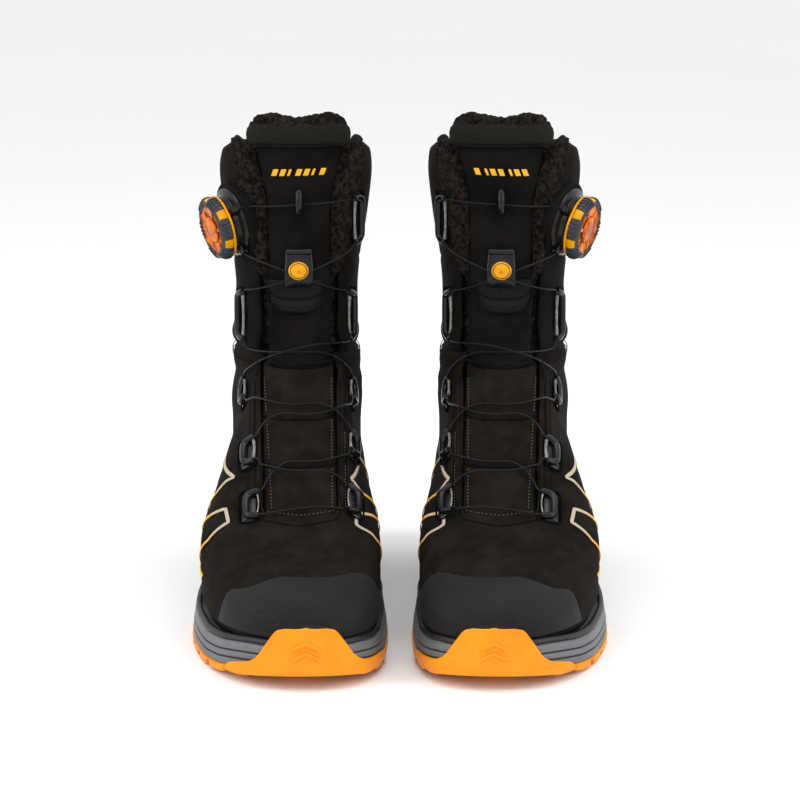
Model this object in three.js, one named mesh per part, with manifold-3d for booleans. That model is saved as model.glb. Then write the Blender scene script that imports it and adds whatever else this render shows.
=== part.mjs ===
// A pair of insulated, high-cut mountain boots that close with a turning dial and one steel cable each.
// One boot is worked out in its own frame, in millimetres: x to the big-toe side, y from the toe tip back to
// the heel, z up from the ground. The pair is that boot, toed in a little, and its mirror image beside it.
import * as THREE from "three";
import { mergeVertices } from "three/addons/utils/BufferGeometryUtils.js";
import Module from "manifold-3d";

const wasm = await Module();
wasm.setup();

// ---- Driving dimensions, mm and degrees ----
const SOLE_LENGTH = 306;
const BALL_WIDTH = 113;
const COLLAR_HEIGHT = 281; // top of the cuff beside the tongue
const TOE_GAP = 110; // between the two boots' toe centres
const TOE_IN = 1.8;

const GAP = 0.3; // left between pieces that touch
const UPPER_WALL = 2.6; // leather of the foot, soft shell of the cuff
const TOE_CAP_WALL = 1.8;
const LINING_WALL = 5; // pile lining with its foam
const GUARD_WALL = 1.7; // rubber toe guard and heel counter
const BOARD_WALL = 2.6;
const FOOTBED = 5;

const LUG_DEPTH = 4;
const OUTSOLE_WALL = 4.5; // rubber above the lugs
const BUMPER_WALL = 2.4;
const BUMPER_TOP = 34.5;

const CABLE = 1.4; // diameter
const CABLE_ROOM = 0.6; // around the cable in a guide
const GUIDE = { width: 12, height: 6.6, tall: 25, middleTall: 24, longTall: 34 };

const DIAL = { radius: 19.5, height: 8.5, baseRadius: 17.5, flangeRadius: 21.5, rise: 6.5 };
const POST_RADIUS = 3;
const RUNNING_GAP = 0.35;

const SIDES = 14; // corners of a section round the boot
const CABLE_SIDES = 5;

// ---- Grading: every pattern point below is for the sizes above, and follows them ----
const PATTERN = { length: 306, width: 113, height: 281, cuffStart: 150 };
const across = (x) => (x * BALL_WIDTH) / PATTERN.width;
const along = (y) => (y * SOLE_LENGTH) / PATTERN.length;
const cuffGrade = (COLLAR_HEIGHT - PATTERN.cuffStart) / (PATTERN.height - PATTERN.cuffStart);
const up = (z) => (z < PATTERN.cuffStart ? z : PATTERN.cuffStart + (z - PATTERN.cuffStart) * cuffGrade);

// ---- Mesh and solid helpers ----
function solidOf(geometry) {
  const bare = geometry.index ? geometry.toNonIndexed() : geometry.clone();
  bare.deleteAttribute("normal");
  bare.deleteAttribute("uv");
  const merged = mergeVertices(bare, 1e-4);
  return new wasm.Manifold(
    new wasm.Mesh({
      numProp: 3,
      vertProperties: new Float32Array(merged.attributes.position.array),
      triVerts: new Uint32Array(merged.index.array),
    }),
  );
}

function geometryOf(solid) {
  const mesh = solid.getMesh();
  const points = new Float32Array(mesh.numVert * 3);
  for (let i = 0; i < mesh.numVert; i++) {
    points.set(mesh.vertProperties.subarray(i * mesh.numProp, i * mesh.numProp + 3), i * 3);
  }
  return new THREE.BufferGeometry()
    .setAttribute("position", new THREE.BufferAttribute(points, 3))
    .setIndex(new THREE.BufferAttribute(new Uint32Array(mesh.triVerts), 1));
}

// A closed skin over rings of equal count, each end shut with a fan to the ring's middle.
function loft(rings) {
  const sides = rings[0].length;
  const points = rings.flat();
  const faces = [];
  for (let r = 0; r + 1 < rings.length; r++) {
    for (let s = 0; s < sides; s++) {
      const a = r * sides + s;
      const b = r * sides + ((s + 1) % sides);
      faces.push(a, b, b + sides, a, b + sides, a + sides);
    }
  }
  for (const [ring, start, flip] of [[rings[0], 0, true], [rings.at(-1), (rings.length - 1) * sides, false]]) {
    const middle = ring.reduce((sum, p) => sum.add(p), new THREE.Vector3()).divideScalar(sides);
    points.push(middle);
    for (let s = 0; s < sides; s++) {
      const a = start + s;
      const b = start + ((s + 1) % sides);
      faces.push(...(flip ? [b, a, points.length - 1] : [a, b, points.length - 1]));
    }
  }
  const solid = solidOf(new THREE.BufferGeometry().setFromPoints(points).setIndex(faces));
  return solid.volume() > 0 ? solid : solidOf(new THREE.BufferGeometry().setFromPoints(points).setIndex(
    faces.map((_, i) => faces[i - (i % 3) + [0, 2, 1][i % 3]])));
}

const shapeOf = (points) => new THREE.Shape(points.map(([a, b]) => new THREE.Vector2(a, b)));

function prism(points, depth, placing) {
  const geometry = new THREE.ExtrudeGeometry(shapeOf(points), { depth, bevelEnabled: false });
  return solidOf(geometry.applyMatrix4(placing));
}

// Seen from the front: outline in x and z, from y = start to y = end.
function frontPrism(points, start, end) {
  const placing = new THREE.Matrix4().makeTranslation(0, end, 0).multiply(
    new THREE.Matrix4().makeRotationX(Math.PI / 2));
  return prism(points, end - start, placing);
}

// Seen from the side: outline in y and z, from x = start to x = end.
function sidePrism(points, start, end) {
  const placing = new THREE.Matrix4().set(0, 0, 1, start, 1, 0, 0, 0, 0, 1, 0, 0, 0, 0, 0, 1);
  return prism(points, end - start, placing);
}

// Seen from above: outline in x and y, from z = bottom to z = top.
function planPrism(points, bottom, top) {
  return prism(points, top - bottom, new THREE.Matrix4().makeTranslation(0, 0, bottom));
}

const REACH = 400; // past the boot on every side
const slab = (bottom, top) => sidePrism(
  [[-REACH, bottom], [REACH, bottom], [REACH, top], [-REACH, top]], -REACH, REACH);
const above = (z) => slab(z, REACH);
const below = (z) => slab(-REACH, z);

// ---- The boot's form ----
// Each station is one section from the front or top edge to the back or sole edge: front y, z; back y, z;
// half widths to the little-toe and big-toe side; where the widest point lies, from back to front; and how
// square the section is on the front half and on the back half.
const STATIONS = [
  { front: [4, 35], back: [5, 25], lateral: 16, medial: 18, widest: 0.4, squareFront: 2.2, squareBack: 2.6 },
  { front: [9, 44], back: [10, 23], lateral: 26, medial: 27, widest: 0.36, squareFront: 2.3, squareBack: 3 },
  { front: [20, 51.5], back: [20, 21.5], lateral: 37, medial: 36, widest: 0.33, squareFront: 2.4, squareBack: 3.4 },
  { front: [38, 58], back: [38, 20.5], lateral: 47, medial: 42.5, widest: 0.3, squareFront: 2.5, squareBack: 3.6 },
  { front: [62, 65.5], back: [62, 20], lateral: 53.5, medial: 45.5, widest: 0.28, squareFront: 2.5, squareBack: 4 },
  { front: [88, 77], back: [92, 20], lateral: 58, medial: 46.5, widest: 0.27, squareFront: 2.5, squareBack: 4 },
  { front: [110, 93], back: [122, 20], lateral: 56, medial: 44, widest: 0.26, squareFront: 2.6, squareBack: 4 },
  { front: [132, 112], back: [152, 20], lateral: 50, medial: 41, widest: 0.27, squareFront: 2.6, squareBack: 4 },
  { front: [150, 128], back: [190, 20], lateral: 45, medial: 39, widest: 0.3, squareFront: 2.5, squareBack: 4 },
  { front: [163, 142], back: [234, 20], lateral: 42, medial: 38, widest: 0.34, squareFront: 2.4, squareBack: 3.6 },
  { front: [170, 152], back: [274, 20.5], lateral: 40, medial: 37, widest: 0.36, squareFront: 2.3, squareBack: 3.2 },
  { front: [173, 158], back: [297, 31], lateral: 39.5, medial: 36.5, widest: 0.38, squareFront: 2.3, squareBack: 2.7 },
  { front: [175, 163], back: [301, 54], lateral: 39.5, medial: 36.5, widest: 0.4, squareFront: 2.3, squareBack: 2.4 },
  { front: [177, 170], back: [296, 90], lateral: 40.5, medial: 37, widest: 0.43, squareFront: 2.3, squareBack: 2.3 },
  { front: [179, 180], back: [288, 128], lateral: 40.5, medial: 35, widest: 0.46, squareFront: 2.3, squareBack: 2.3 },
  { front: [181.5, 196], back: [286, 166], lateral: 39.5, medial: 35.5, widest: 0.5, squareFront: 2.3, squareBack: 2.3 },
  { front: [184, 215], back: [290, 200], lateral: 41.5, medial: 37.5, widest: 0.5, squareFront: 2.3, squareBack: 2.3 },
  { front: [185.5, 238], back: [296, 232], lateral: 47, medial: 42.5, widest: 0.5, squareFront: 2.3, squareBack: 2.3 },
  { front: [185, 262], back: [300, 258], lateral: 49, medial: 45.5, widest: 0.5, squareFront: 2.3, squareBack: 2.3 },
  { front: [184, 280], back: [300, 278], lateral: 45, medial: 43, widest: 0.5, squareFront: 2.3, squareBack: 2.3 },
  { front: [183, 298], back: [298, 298], lateral: 39, medial: 39, widest: 0.5, squareFront: 2.3, squareBack: 2.3 },
];
const TOE_STATION = 4; // the toe is one rounded end in front of this section
const TOE_LEAN = 3; // the toe tip lies this much to the big-toe side

// A smooth value between the stations.
function between(read, t) {
  const last = STATIONS.length - 1;
  const i = Math.min(Math.floor(t), last - 1);
  const [a, b, c, d] = [i - 1, i, i + 1, i + 2].map((k) => read(STATIONS[THREE.MathUtils.clamp(k, 0, last)]));
  const f = t - i;
  return b + 0.5 * f * (c - a + f * (2 * a - 5 * b + 4 * c - d + f * (3 * (b - c) + d - a)));
}

function stationAt(t) {
  const front = new THREE.Vector2(along(between((s) => s.front[0], t)), up(between((s) => s.front[1], t)));
  const back = new THREE.Vector2(along(between((s) => s.back[0], t)), up(between((s) => s.back[1], t)));
  return {
    front,
    back,
    middle: back.clone().lerp(front, between((s) => s.widest, t)),
    lateral: across(between((s) => s.lateral, t)),
    medial: across(between((s) => s.medial, t)),
    squareFront: between((s) => s.squareFront, t),
    squareBack: between((s) => s.squareBack, t),
  };
}

// One section, drawn in by inset: the toe shrinks about its own centre, the rest shrinks in its plane.
function sectionAt(t, inset) {
  const s = stationAt(t);
  if (t < TOE_STATION) {
    const base = stationAt(TOE_STATION);
    const share = (size) => 1 - inset / size;
    const toeLength = base.front.x - stationAt(0).front.x;
    for (const p of [s.front, s.back, s.middle]) p.x = base.front.x + (p.x - base.front.x) * share(toeLength);
    s.front.y = s.middle.y + (s.front.y - s.middle.y) * share(base.front.y - base.middle.y);
    s.back.y = s.middle.y + (s.back.y - s.middle.y) * share(base.middle.y - base.back.y);
    s.lateral *= share(base.lateral);
    s.medial *= share(base.medial);
  } else {
    const inward = s.back.clone().sub(s.front).normalize().multiplyScalar(inset);
    s.front.add(inward);
    s.back.sub(inward);
    s.lateral -= inset;
    s.medial -= inset;
  }
  const lean = TOE_LEAN * Math.max(0, 1 - t / TOE_STATION);
  return Array.from({ length: SIDES }, (_, k) => {
    const angle = (2 * Math.PI * k) / SIDES;
    const [c, n] = [Math.cos(angle), Math.sin(angle)];
    const power = 2 / (n >= 0 ? s.squareFront : s.squareBack);
    const x = lean + Math.sign(c) * (c > 0 ? s.medial : s.lateral) * Math.abs(c) ** power;
    const p = s.middle.clone().lerp(n >= 0 ? s.front : s.back, Math.abs(n) ** power);
    return new THREE.Vector3(x, p.x, p.y);
  });
}

// The stations where the form is cut into sections: closer at the toe and round the heel.
const CUTS = [0, 0.6, 1.3, 2.2, 3.1, 4.2, 5.6, 7, 8.4, 9.6, 10.5, 11.3, 12.3, 13.8, 15.2, 16.6, 17.8, 18.8, 20];

const forms = new Map();
function form(inset) {
  const key = inset.toFixed(3);
  if (!forms.has(key)) forms.set(key, loft(CUTS.map((t) => sectionAt(t, inset))));
  return forms.get(key);
}

// Between two depths under the form's surface.
const layer = (outer, inner) => form(outer).subtract(form(inner));

// ---- Where things sit on the surface ----
const skin = new THREE.Mesh(geometryOf(form(0)), new THREE.MeshStandardMaterial({ side: THREE.DoubleSide }));
const probe = new THREE.Raycaster();

function hitFrom(origin, direction) {
  probe.set(origin, direction);
  const [hit] = probe.intersectObject(skin);
  return { point: hit.point, normal: hit.face.normal.clone() };
}

// The surface seen from the front at x and z.
const onFront = (x, z) => hitFrom(new THREE.Vector3(across(x), -REACH, up(z)), new THREE.Vector3(0, 1, 0));

// ---- Openings in the upper, as half widths at heights, seen from the front ----
const THROAT_FLOOR = 79; // the vamp's edge
const THROAT = [[THROAT_FLOOR, 22], [138, 22.5], [149, 20], [232, 20], [248, 21], [268, 27], [284, 30], [302, 31]];
const CUFF_THROAT = [[150, 31], [202, 31], [232, 31], [284, 36], [302, 38]];

function opening(profile, spare = 0) {
  const graded = profile.map(([z, half], i) => [across(half) - spare, up(z) + (i === 0 ? spare : 0)]);
  const outline = [...graded, ...graded.map(([x, z]) => [-x, z]).reverse()];
  return frontPrism(outline, -REACH, along(225) - spare);
}

// ---- Sole ----
const OUTLINE = [[3, -2], [-21, 4], [-38, 19], [-50, 37], [-58, 62], [-63, 98], [-59, 138], [-49, 178], [-43, 220],
  [-42, 262], [-32, 292], [-2, 306], [29, 292], [39, 262], [39, 220], [41, 178], [46, 138], [50, 98], [48, 62],
  [46, 42], [39, 19], [26, 4]];
const OUTLINE_POINTS = 44;

function soleOutline(grow = 0) {
  const corners = OUTLINE.map(([x, y]) => new THREE.Vector3(across(x), along(y), 0));
  const curve = new THREE.CatmullRomCurve3(corners, true, "centripetal");
  return Array.from({ length: OUTLINE_POINTS }, (_, i) => {
    const p = curve.getPointAt(i / OUTLINE_POINTS);
    const t = curve.getTangentAt(i / OUTLINE_POINTS);
    return [p.x - t.y * grow, p.y + t.x * grow];
  });
}

// Lines seen from the side, y and z: the tread lifts at the toe, and the rim climbs to the heel.
const TREAD_LINE = [[-20, 10], [-2, 8], [12, 5], [30, 2.2], [52, 0.4], [70, 0], [330, 0]];
const RIM_LINE = [[-20, 25], [45, 25], [100, 30], [150, 33], [205, 34], [255, 37], [330, 40]];
const lift = (line, by) => line.map(([y, z]) => [along(y), z + by]);
const band = (lower, upper) => sidePrism([...lower, ...[...upper].reverse()], -REACH, REACH);

const OUTSOLE_TOP = LUG_DEPTH + OUTSOLE_WALL;

function bumperOutline() {
  const half = [[12, BUMPER_TOP], [15.5, BUMPER_TOP - 2.5], [19, 24], [24, 17], [31, 12.5], [36, 10.5], [36, 4]];
  const right = half.map(([x, z]) => [TOE_LEAN + across(x), z]);
  return [...right, ...half.map(([x, z]) => [TOE_LEAN - across(x), z]).reverse()];
}

function bumper() {
  const block = planPrism(soleOutline(BUMPER_WALL), 5, BUMPER_TOP).intersect(
    frontPrism(bumperOutline(), -REACH, along(24)));
  const midsoleRoom = planPrism(soleOutline(GAP), -REACH, REACH).intersect(
    band(lift(TREAD_LINE, OUTSOLE_TOP), lift(RIM_LINE, GAP)));
  const underTread = band(lift(TREAD_LINE, -REACH), lift(TREAD_LINE, 0));
  return block.subtract(form(-(GUARD_WALL + 2 * GAP))).subtract(midsoleRoom).subtract(underTread);
}

const GROOVE = { width: 5, pitch: 19, first: 26 };
const ARCH = [152, 198]; // the waist of the sole stays off the ground

function outsole() {
  let tread = planPrism(soleOutline(), -1, 30).intersect(
    band(lift(TREAD_LINE, 0), lift(TREAD_LINE, OUTSOLE_TOP - GAP)));
  for (let y = GROOVE.first; y < PATTERN.length - 12; y += GROOVE.pitch) {
    if (y > ARCH[0] - 10 && y < ARCH[1] + 6) continue;
    const cut = sidePrism([[0, -1], [GROOVE.width, -1], [GROOVE.width, LUG_DEPTH], [0, LUG_DEPTH]], -REACH, REACH);
    tread = tread.subtract(cut.translate([0, along(y), 0]));
  }
  tread = tread.subtract(sidePrism([[along(ARCH[0]), -1], [along(ARCH[1]), -1], [along(ARCH[1]) - 3, 3],
    [along(ARCH[0]) + 3, 3]], -REACH, REACH));
  return tread.add(bumper());
}

function midsole() {
  return planPrism(soleOutline(), -REACH, REACH)
    .intersect(band(lift(TREAD_LINE, OUTSOLE_TOP), lift(RIM_LINE, 0)))
    .subtract(form(-GAP));
}

// ---- Upper ----
const BOARD_TOP = 20 + BOARD_WALL + 0.6;
const CUFF_SEAM = 152;
const COLLAR_LINE = [[150, 281], [225, 281], [262, 268], [290, 261], [340, 261]];
const underCollar = (spare = 0) => band(
  [[-REACH, -REACH], [REACH, -REACH]], COLLAR_LINE.map(([y, z]) => [along(y), up(z) - spare]));

const insoleBoard = () => layer(0, UPPER_WALL).intersect(below(BOARD_TOP));

const footUpper = () => layer(0, UPPER_WALL).intersect(slab(BOARD_TOP + GAP, up(CUFF_SEAM) - GAP))
  .subtract(opening(THROAT));

const cuff = () => layer(0, UPPER_WALL).intersect(above(up(CUFF_SEAM))).intersect(underCollar(1.5))
  .subtract(opening(CUFF_THROAT));

const TOE_CAP_END = 56;
const inFrontOf = (y) => sidePrism([[-REACH, -REACH], [along(y), -REACH], [along(y), REACH], [-REACH, REACH]],
  -REACH, REACH);

const toeCap = () => layer(UPPER_WALL + GAP, UPPER_WALL + GAP + TOE_CAP_WALL).intersect(inFrontOf(TOE_CAP_END))
  .intersect(above(BOARD_TOP + 2 * GAP));

const LINING_DEPTH = UPPER_WALL + 1.2; // foam lies between the two

function lining() {
  const toeRoom = form(0).subtract(form(UPPER_WALL + TOE_CAP_WALL + 2 * GAP)).intersect(inFrontOf(TOE_CAP_END + 1));
  return layer(LINING_DEPTH, LINING_DEPTH + LINING_WALL)
    .intersect(underCollar(0)).subtract(toeRoom).subtract(opening(THROAT));
}

const INSOLE_TOP = 20 + LINING_DEPTH + LINING_WALL + FOOTBED;
const insole = () => form(LINING_DEPTH + LINING_WALL + 1).intersect(below(INSOLE_TOP + 1));

// The rubber over the toe ends along a slanting line, and the counter wraps the heel.
const toeGuard = () => layer(-(GAP + GUARD_WALL), -GAP)
  .intersect(sidePrism([[-REACH, 0], [along(60), 0], [along(58), 27], [along(34), 62], [along(20), REACH],
    [-REACH, REACH]], -REACH, REACH))
  .intersect(band(lift(RIM_LINE, GAP), [[-REACH, REACH], [REACH, REACH]]));

const heelCounter = () => layer(-(GAP + GUARD_WALL), -GAP)
  .intersect(sidePrism([[along(246), 0], [REACH, 0], [REACH, 88], [along(278), 88], [along(262), 72]],
    -REACH, REACH))
  .intersect(band(lift(RIM_LINE, GAP), [[-REACH, REACH], [REACH, REACH]]));

// ---- Tongue ----
const TONGUE_SKIN = 1; // under the form's surface
const TONGUE_WALL = 8;
const TONGUE_ROOM = 0.9; // beside the tongue
const TONGUE_HINGE = 148;
const BAND_BOTTOM = 278;
const TONGUE_TOP = 293;

const tonguePart = (from, to) => layer(TONGUE_SKIN, TONGUE_SKIN + TONGUE_WALL)
  .intersect(opening(THROAT, TONGUE_ROOM)).intersect(slab(up(from), up(to)));

const tongueVamp = () => tonguePart(THROAT_FLOOR, TONGUE_HINGE - 0.8);
const tongueShaft = () => tonguePart(TONGUE_HINGE, BAND_BOTTOM - GAP);
const tongueCuff = () => layer(-1.2, TONGUE_SKIN + TONGUE_WALL).intersect(opening(THROAT, TONGUE_ROOM))
  .intersect(slab(up(BAND_BOTTOM), up(TONGUE_TOP)));

// A flat strap over the middle of the tongue, with an edge sewn down at each end, so that cables pass under it.
function strap(bottom, top, width, wall, clear) {
  const low = onFront(0, bottom).point.y;
  const high = onFront(0, top).point.y;
  const [z0, z1] = [up(bottom), up(top)];
  const outside = [[low + 2, z0], [low - clear, z0], [low - clear - wall, z0 + wall],
    [high - clear - wall, z1 - 4 * wall], [high - wall, z1], [high + 2, z1]];
  const inside = [[low + 2, z0 + wall], [low - clear, z0 + 1.6 * wall], [high - clear, z1 - 4.4 * wall],
    [high + 2, z1 - 2 * wall]];
  return sidePrism(outside, -width / 2, width / 2).subtract(sidePrism(inside, -width, width))
    .subtract(form(TONGUE_SKIN - GAP));
}

const tongueLoop = () => strap(236, 253, 5, 1.2, 3.2);
const tongueTab = () => strap(193.5, 216, 16, 1.2, 1.6 + 2 * CABLE + 1);

const PATCH = { half: 17.5, bottom: 177, top: 193 };
function tongueTabPatch() {
  const arc = Array.from({ length: 9 }, (_, i) => {
    const a = Math.PI + (Math.PI * i) / 8;
    return [across(PATCH.half) * Math.cos(a), up(PATCH.bottom + 9) + 9 * Math.sin(a)];
  });
  const outline = [...arc, [across(PATCH.half), up(PATCH.top)], [-across(PATCH.half), up(PATCH.top)]];
  return layer(-0.5, TONGUE_SKIN - GAP).intersect(frontPrism(outline, -REACH, along(225)));
}

// ---- Cable guides and the cable ----
// Places seen from the front, x and z, and how tall each is. Level 1 is the highest.
const GUIDES = {
  cable_guide_medial_1: { at: [34.5, 233.5], tall: GUIDE.longTall },
  cable_guide_lateral_2: { at: [-34.5, 174], tall: GUIDE.longTall },
  cable_guide_medial_2: { at: [30, 174], tall: GUIDE.longTall },
  cable_guide_lateral_3: { at: [-33.2, 124.5], tall: GUIDE.middleTall },
  cable_guide_medial_3: { at: [30.2, 124.5], tall: GUIDE.middleTall },
  cable_guide_lateral_4: { at: [-30.6, 102.5], tall: GUIDE.tall },
  cable_guide_medial_4: { at: [30.6, 102.5], tall: GUIDE.tall },
  cable_guide_lateral_5: { at: [-29.2, 79], tall: GUIDE.tall },
  cable_guide_medial_5: { at: [31, 79], tall: GUIDE.tall },
};
const LANE = 3.3; // from the surface to the cable's centre inside a guide
const LANE_IN = 1.2; // the cable's turn reaches this far past the guide's middle, away from the tongue

function guideFrame({ at }) {
  const { point, normal } = onFront(...at);
  const side = Math.sign(at[0]);
  const higher = onFront(at[0], at[1] + 4).point;
  const lower = onFront(at[0], at[1] - 4).point;
  const upward = higher.sub(lower).normalize();
  const out = normal.sub(upward.clone().multiplyScalar(normal.dot(upward))).normalize();
  const away = new THREE.Vector3().crossVectors(upward, out).normalize();
  if (away.x * side < 0) away.negate();
  return { point, out, upward, away, side };
}

// A point beside a guide: a away from the tongue, b up along the guide, c out of the surface.
const beside = (f, a, b, c) => f.point.clone().addScaledVector(f.away, a).addScaledVector(f.upward, b)
  .addScaledVector(f.out, c);

function guide(place, cableRoom) {
  const f = guideFrame(place);
  const [w, h] = [GUIDE.width / 2, place.tall / 2];
  const outline = [[-w, -h], [w - 4, -h], [w, -h + 5], [w, h - 5], [w - 4, h], [-w, h]];
  const rim = (c, draw) => outline.map(([a, b]) => beside(f, a * draw, b * draw, c));
  const block = loft([rim(-5, 1), rim(GUIDE.height - 1.6, 1), rim(GUIDE.height, 0.8)]);
  return block.subtract(form(-GAP)).subtract(cableRoom);
}

// The turn inside a guide, from its top mouth to its bottom mouth.
function turn(place) {
  const f = guideFrame(place);
  const h = place.tall / 2;
  const w = GUIDE.width / 2;
  return [
    beside(f, -w - 2, h - 2.8, LANE),
    beside(f, LANE_IN - 3, h - 4.4, LANE),
    beside(f, LANE_IN, h - 8, LANE),
    beside(f, LANE_IN, -h + 8, LANE),
    beside(f, LANE_IN - 3, -h + 4.4, LANE),
    beside(f, -w - 2, -h + 2.8, LANE),
  ];
}

// The free cable from one mouth to the next: it lies over the form, off it by the given stand-off.
const CROSSING_STEPS = [0.06, 0.14, 0.35, 0.65, 0.86, 0.94];

// How far the cable has gone up or down by the share f of its way: it runs level in the middle, at the share hold.
const level = (f, hold) => (hold === undefined ? f : hold + (f < 0.5 ? -hold : 1 - hold) * Math.abs(2 * f - 1) ** 3);

function crossing(from, to, outward, standOff, bend, hold, steps = CROSSING_STEPS) {
  const chord = to.clone().sub(from);
  const out = outward.clone().setX(0).normalize();
  const upward = new THREE.Vector3(0, -out.z, out.y).multiplyScalar(out.y < 0 ? -1 : 1);
  return steps.map((f) => {
    const middle = 4 * f * (1 - f);
    const p = from.clone().addScaledVector(chord, f)
      .addScaledVector(upward, bend * middle + chord.dot(upward) * (level(f, hold) - f));
    const { point, normal } = hitFrom(p.addScaledVector(out, REACH / 2), out.clone().negate());
    return point.clone().addScaledVector(normal, LOW + (standOff - LOW) * Math.min(1, 1.6 * middle));
  });
}

const LOW = 2.5; // stand-off of the cable that lies on the tongue
const HIGH = LOW + CABLE + 0.6; // and of the one that crosses over it

// ---- Dial ----
// Its axis leans forward and down, square to the flared cuff.
const DIAL_AXIS = new THREE.Vector3(-0.89, -0.4, -0.22).normalize();
const DIAL_AT = new THREE.Vector3(across(-38), along(211.1), up(230));
const dialSeat = hitFrom(DIAL_AT.clone().addScaledVector(DIAL_AXIS, 80), DIAL_AXIS.clone().negate()).point;
const dialPlacing = new THREE.Matrix4().makeTranslation(...dialSeat.toArray()).multiply(
  new THREE.Matrix4().makeRotationFromQuaternion(
    new THREE.Quaternion().setFromUnitVectors(new THREE.Vector3(0, 0, 1), DIAL_AXIS)));

// A turned piece on the dial's axis: radius and distance out from the cuff.
function turned(profile, segments = 16) {
  const points = [...profile, profile[0]].map(([r, t]) => new THREE.Vector2(r, t));
  const geometry = new THREE.LatheGeometry(points, segments).rotateX(Math.PI / 2);
  const solid = solidOf(geometry);
  const facing = solid.volume() > 0 ? geometry : flipped(geometry);
  return solidOf(facing.applyMatrix4(dialPlacing));
}

function flipped(geometry) {
  const index = Array.from(geometry.index.array);
  return geometry.clone().setIndex(index.map((_, i) => index[i - (i % 3) + [0, 2, 1][i % 3]]));
}

const WELL_RADIUS = 10.5;
const HEAD_RADIUS = 8;
const KNOB_BOTTOM = DIAL.rise + 0.6;
const KNOB_TOP = KNOB_BOTTOM + DIAL.height;

const dialBase = (cableRoom) => turned([[0, -8], [DIAL.flangeRadius, -8], [DIAL.flangeRadius, 1.4],
  [DIAL.baseRadius + 1, 2.6], [DIAL.baseRadius, DIAL.rise], [WELL_RADIUS, DIAL.rise], [WELL_RADIUS, 1.6], [0, 1.6]])
  .subtract(form(-GAP)).subtract(cableRoom);

const spoolRadius = WELL_RADIUS - RUNNING_GAP;
const postHole = POST_RADIUS + RUNNING_GAP;
const dialSpool = () => turned([[postHole, 2], [spoolRadius, 2], [spoolRadius, 2.8], [spoolRadius - 3.4, 3.3],
  [spoolRadius - 3.4, 4.9], [spoolRadius, 5.4], [spoolRadius, 6.2], [postHole, 6.2]], 16);

const dialCore = () => turned([[0, 2], [POST_RADIUS, 2], [POST_RADIUS, KNOB_TOP - 2.2 + GAP],
  [HEAD_RADIUS - 1.5, KNOB_TOP - 2.2 + GAP], [HEAD_RADIUS, KNOB_TOP - 1], [HEAD_RADIUS - 1.4, KNOB_TOP],
  [0, KNOB_TOP]], 16);

function dialKnob() {
  const headRoom = HEAD_RADIUS + RUNNING_GAP;
  const body = turned([[postHole, KNOB_BOTTOM], [DIAL.radius - 0.8, KNOB_BOTTOM], [DIAL.radius, KNOB_BOTTOM + 2],
    [DIAL.radius, KNOB_TOP - 4.5], [DIAL.radius - 3, KNOB_TOP - 0.8], [headRoom + 2, KNOB_TOP - 1.6],
    [headRoom, KNOB_TOP - 2.2], [postHole, KNOB_TOP - 2.2]], 18);
  const notches = [0, 1, 2, 3, 4, 5].map((k) => {
    const a = (Math.PI * k) / 3 + Math.PI / 6;
    const notch = new THREE.CylinderGeometry(3.2, 3.2, DIAL.height * 2, 6).rotateX(Math.PI / 2)
      .translate((DIAL.radius + 2.2) * Math.cos(a), (DIAL.radius + 2.2) * Math.sin(a), KNOB_BOTTOM + 8);
    return solidOf(notch.applyMatrix4(dialPlacing));
  });
  return notches.reduce((knob, notch) => knob.subtract(notch), body);
}

// The cable leaves the dial's housing at its upper edge and comes back to its lower edge.
const mouth = (angle, radius, out) => new THREE.Vector3(radius * Math.cos(angle), radius * Math.sin(angle), out)
  .applyMatrix4(dialPlacing);

function towards(point) {
  const local = point.clone().applyMatrix4(dialPlacing.clone().invert());
  return Math.atan2(local.y, local.x);
}

const MOUTH_OUT = 3.9; // from the cuff, level with the spool
const upperMouth = towards(onFront(0, 262).point);
const lowerMouth = towards(onFront(-8, 196).point);

// From the dial down the tongue and back up to the dial: guide, how its turn is taken, the stand-off of the
// crossing that leads to it, how far that crossing bends up (or down) the tongue, and where it runs level.
const WAY = [
  { to: "cable_guide_medial_1", standOff: LOW, bend: 1.5 },
  { to: "cable_guide_lateral_2", standOff: HIGH, bend: -1 },
  { to: "cable_guide_medial_3", standOff: LOW, bend: -8, hold: 0.3 },
  { to: "cable_guide_lateral_4", standOff: HIGH, bend: -19, hold: 0.4 },
  { to: "cable_guide_medial_5", standOff: HIGH, bend: -9, hold: 0.12 },
  { to: "cable_guide_lateral_5", rising: true, standOff: LOW, bend: 1 },
  { to: "cable_guide_medial_4", rising: true, standOff: LOW, bend: -12, hold: 0.88 },
  { to: "cable_guide_lateral_3", rising: true, standOff: LOW, bend: -19, hold: 0.6 },
  { to: "cable_guide_medial_2", rising: true, standOff: HIGH, bend: -1 },
];

function cableRoute() {
  const ahead = new THREE.Vector3(0, -1, 0);
  const route = [mouth(upperMouth, DIAL.baseRadius - 4, MOUTH_OUT), mouth(upperMouth, DIAL.baseRadius + 5, MOUTH_OUT)];
  let out = ahead;
  for (const { to, rising, standOff, bend, hold } of WAY) {
    const through = turn(GUIDES[to]);
    if (rising) through.reverse();
    const nextOut = guideFrame(GUIDES[to]).out;
    const steps = CROSSING_STEPS.slice(route.length === 2 ? 1 : 0); // it comes down to the tongue from the dial
    route.push(...crossing(route.at(-1), through[0], out.clone().add(nextOut), standOff, bend, hold, steps), ...through);
    out = nextOut;
  }
  const home = [mouth(lowerMouth, DIAL.baseRadius + 5, MOUTH_OUT), mouth(lowerMouth, DIAL.baseRadius - 4, MOUTH_OUT)];
  const steps = CROSSING_STEPS.slice(0, -1);
  route.push(...crossing(route.at(-1), home[0], out.clone().add(ahead), LOW, 1, undefined, steps), ...home);
  return route;
}

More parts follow.
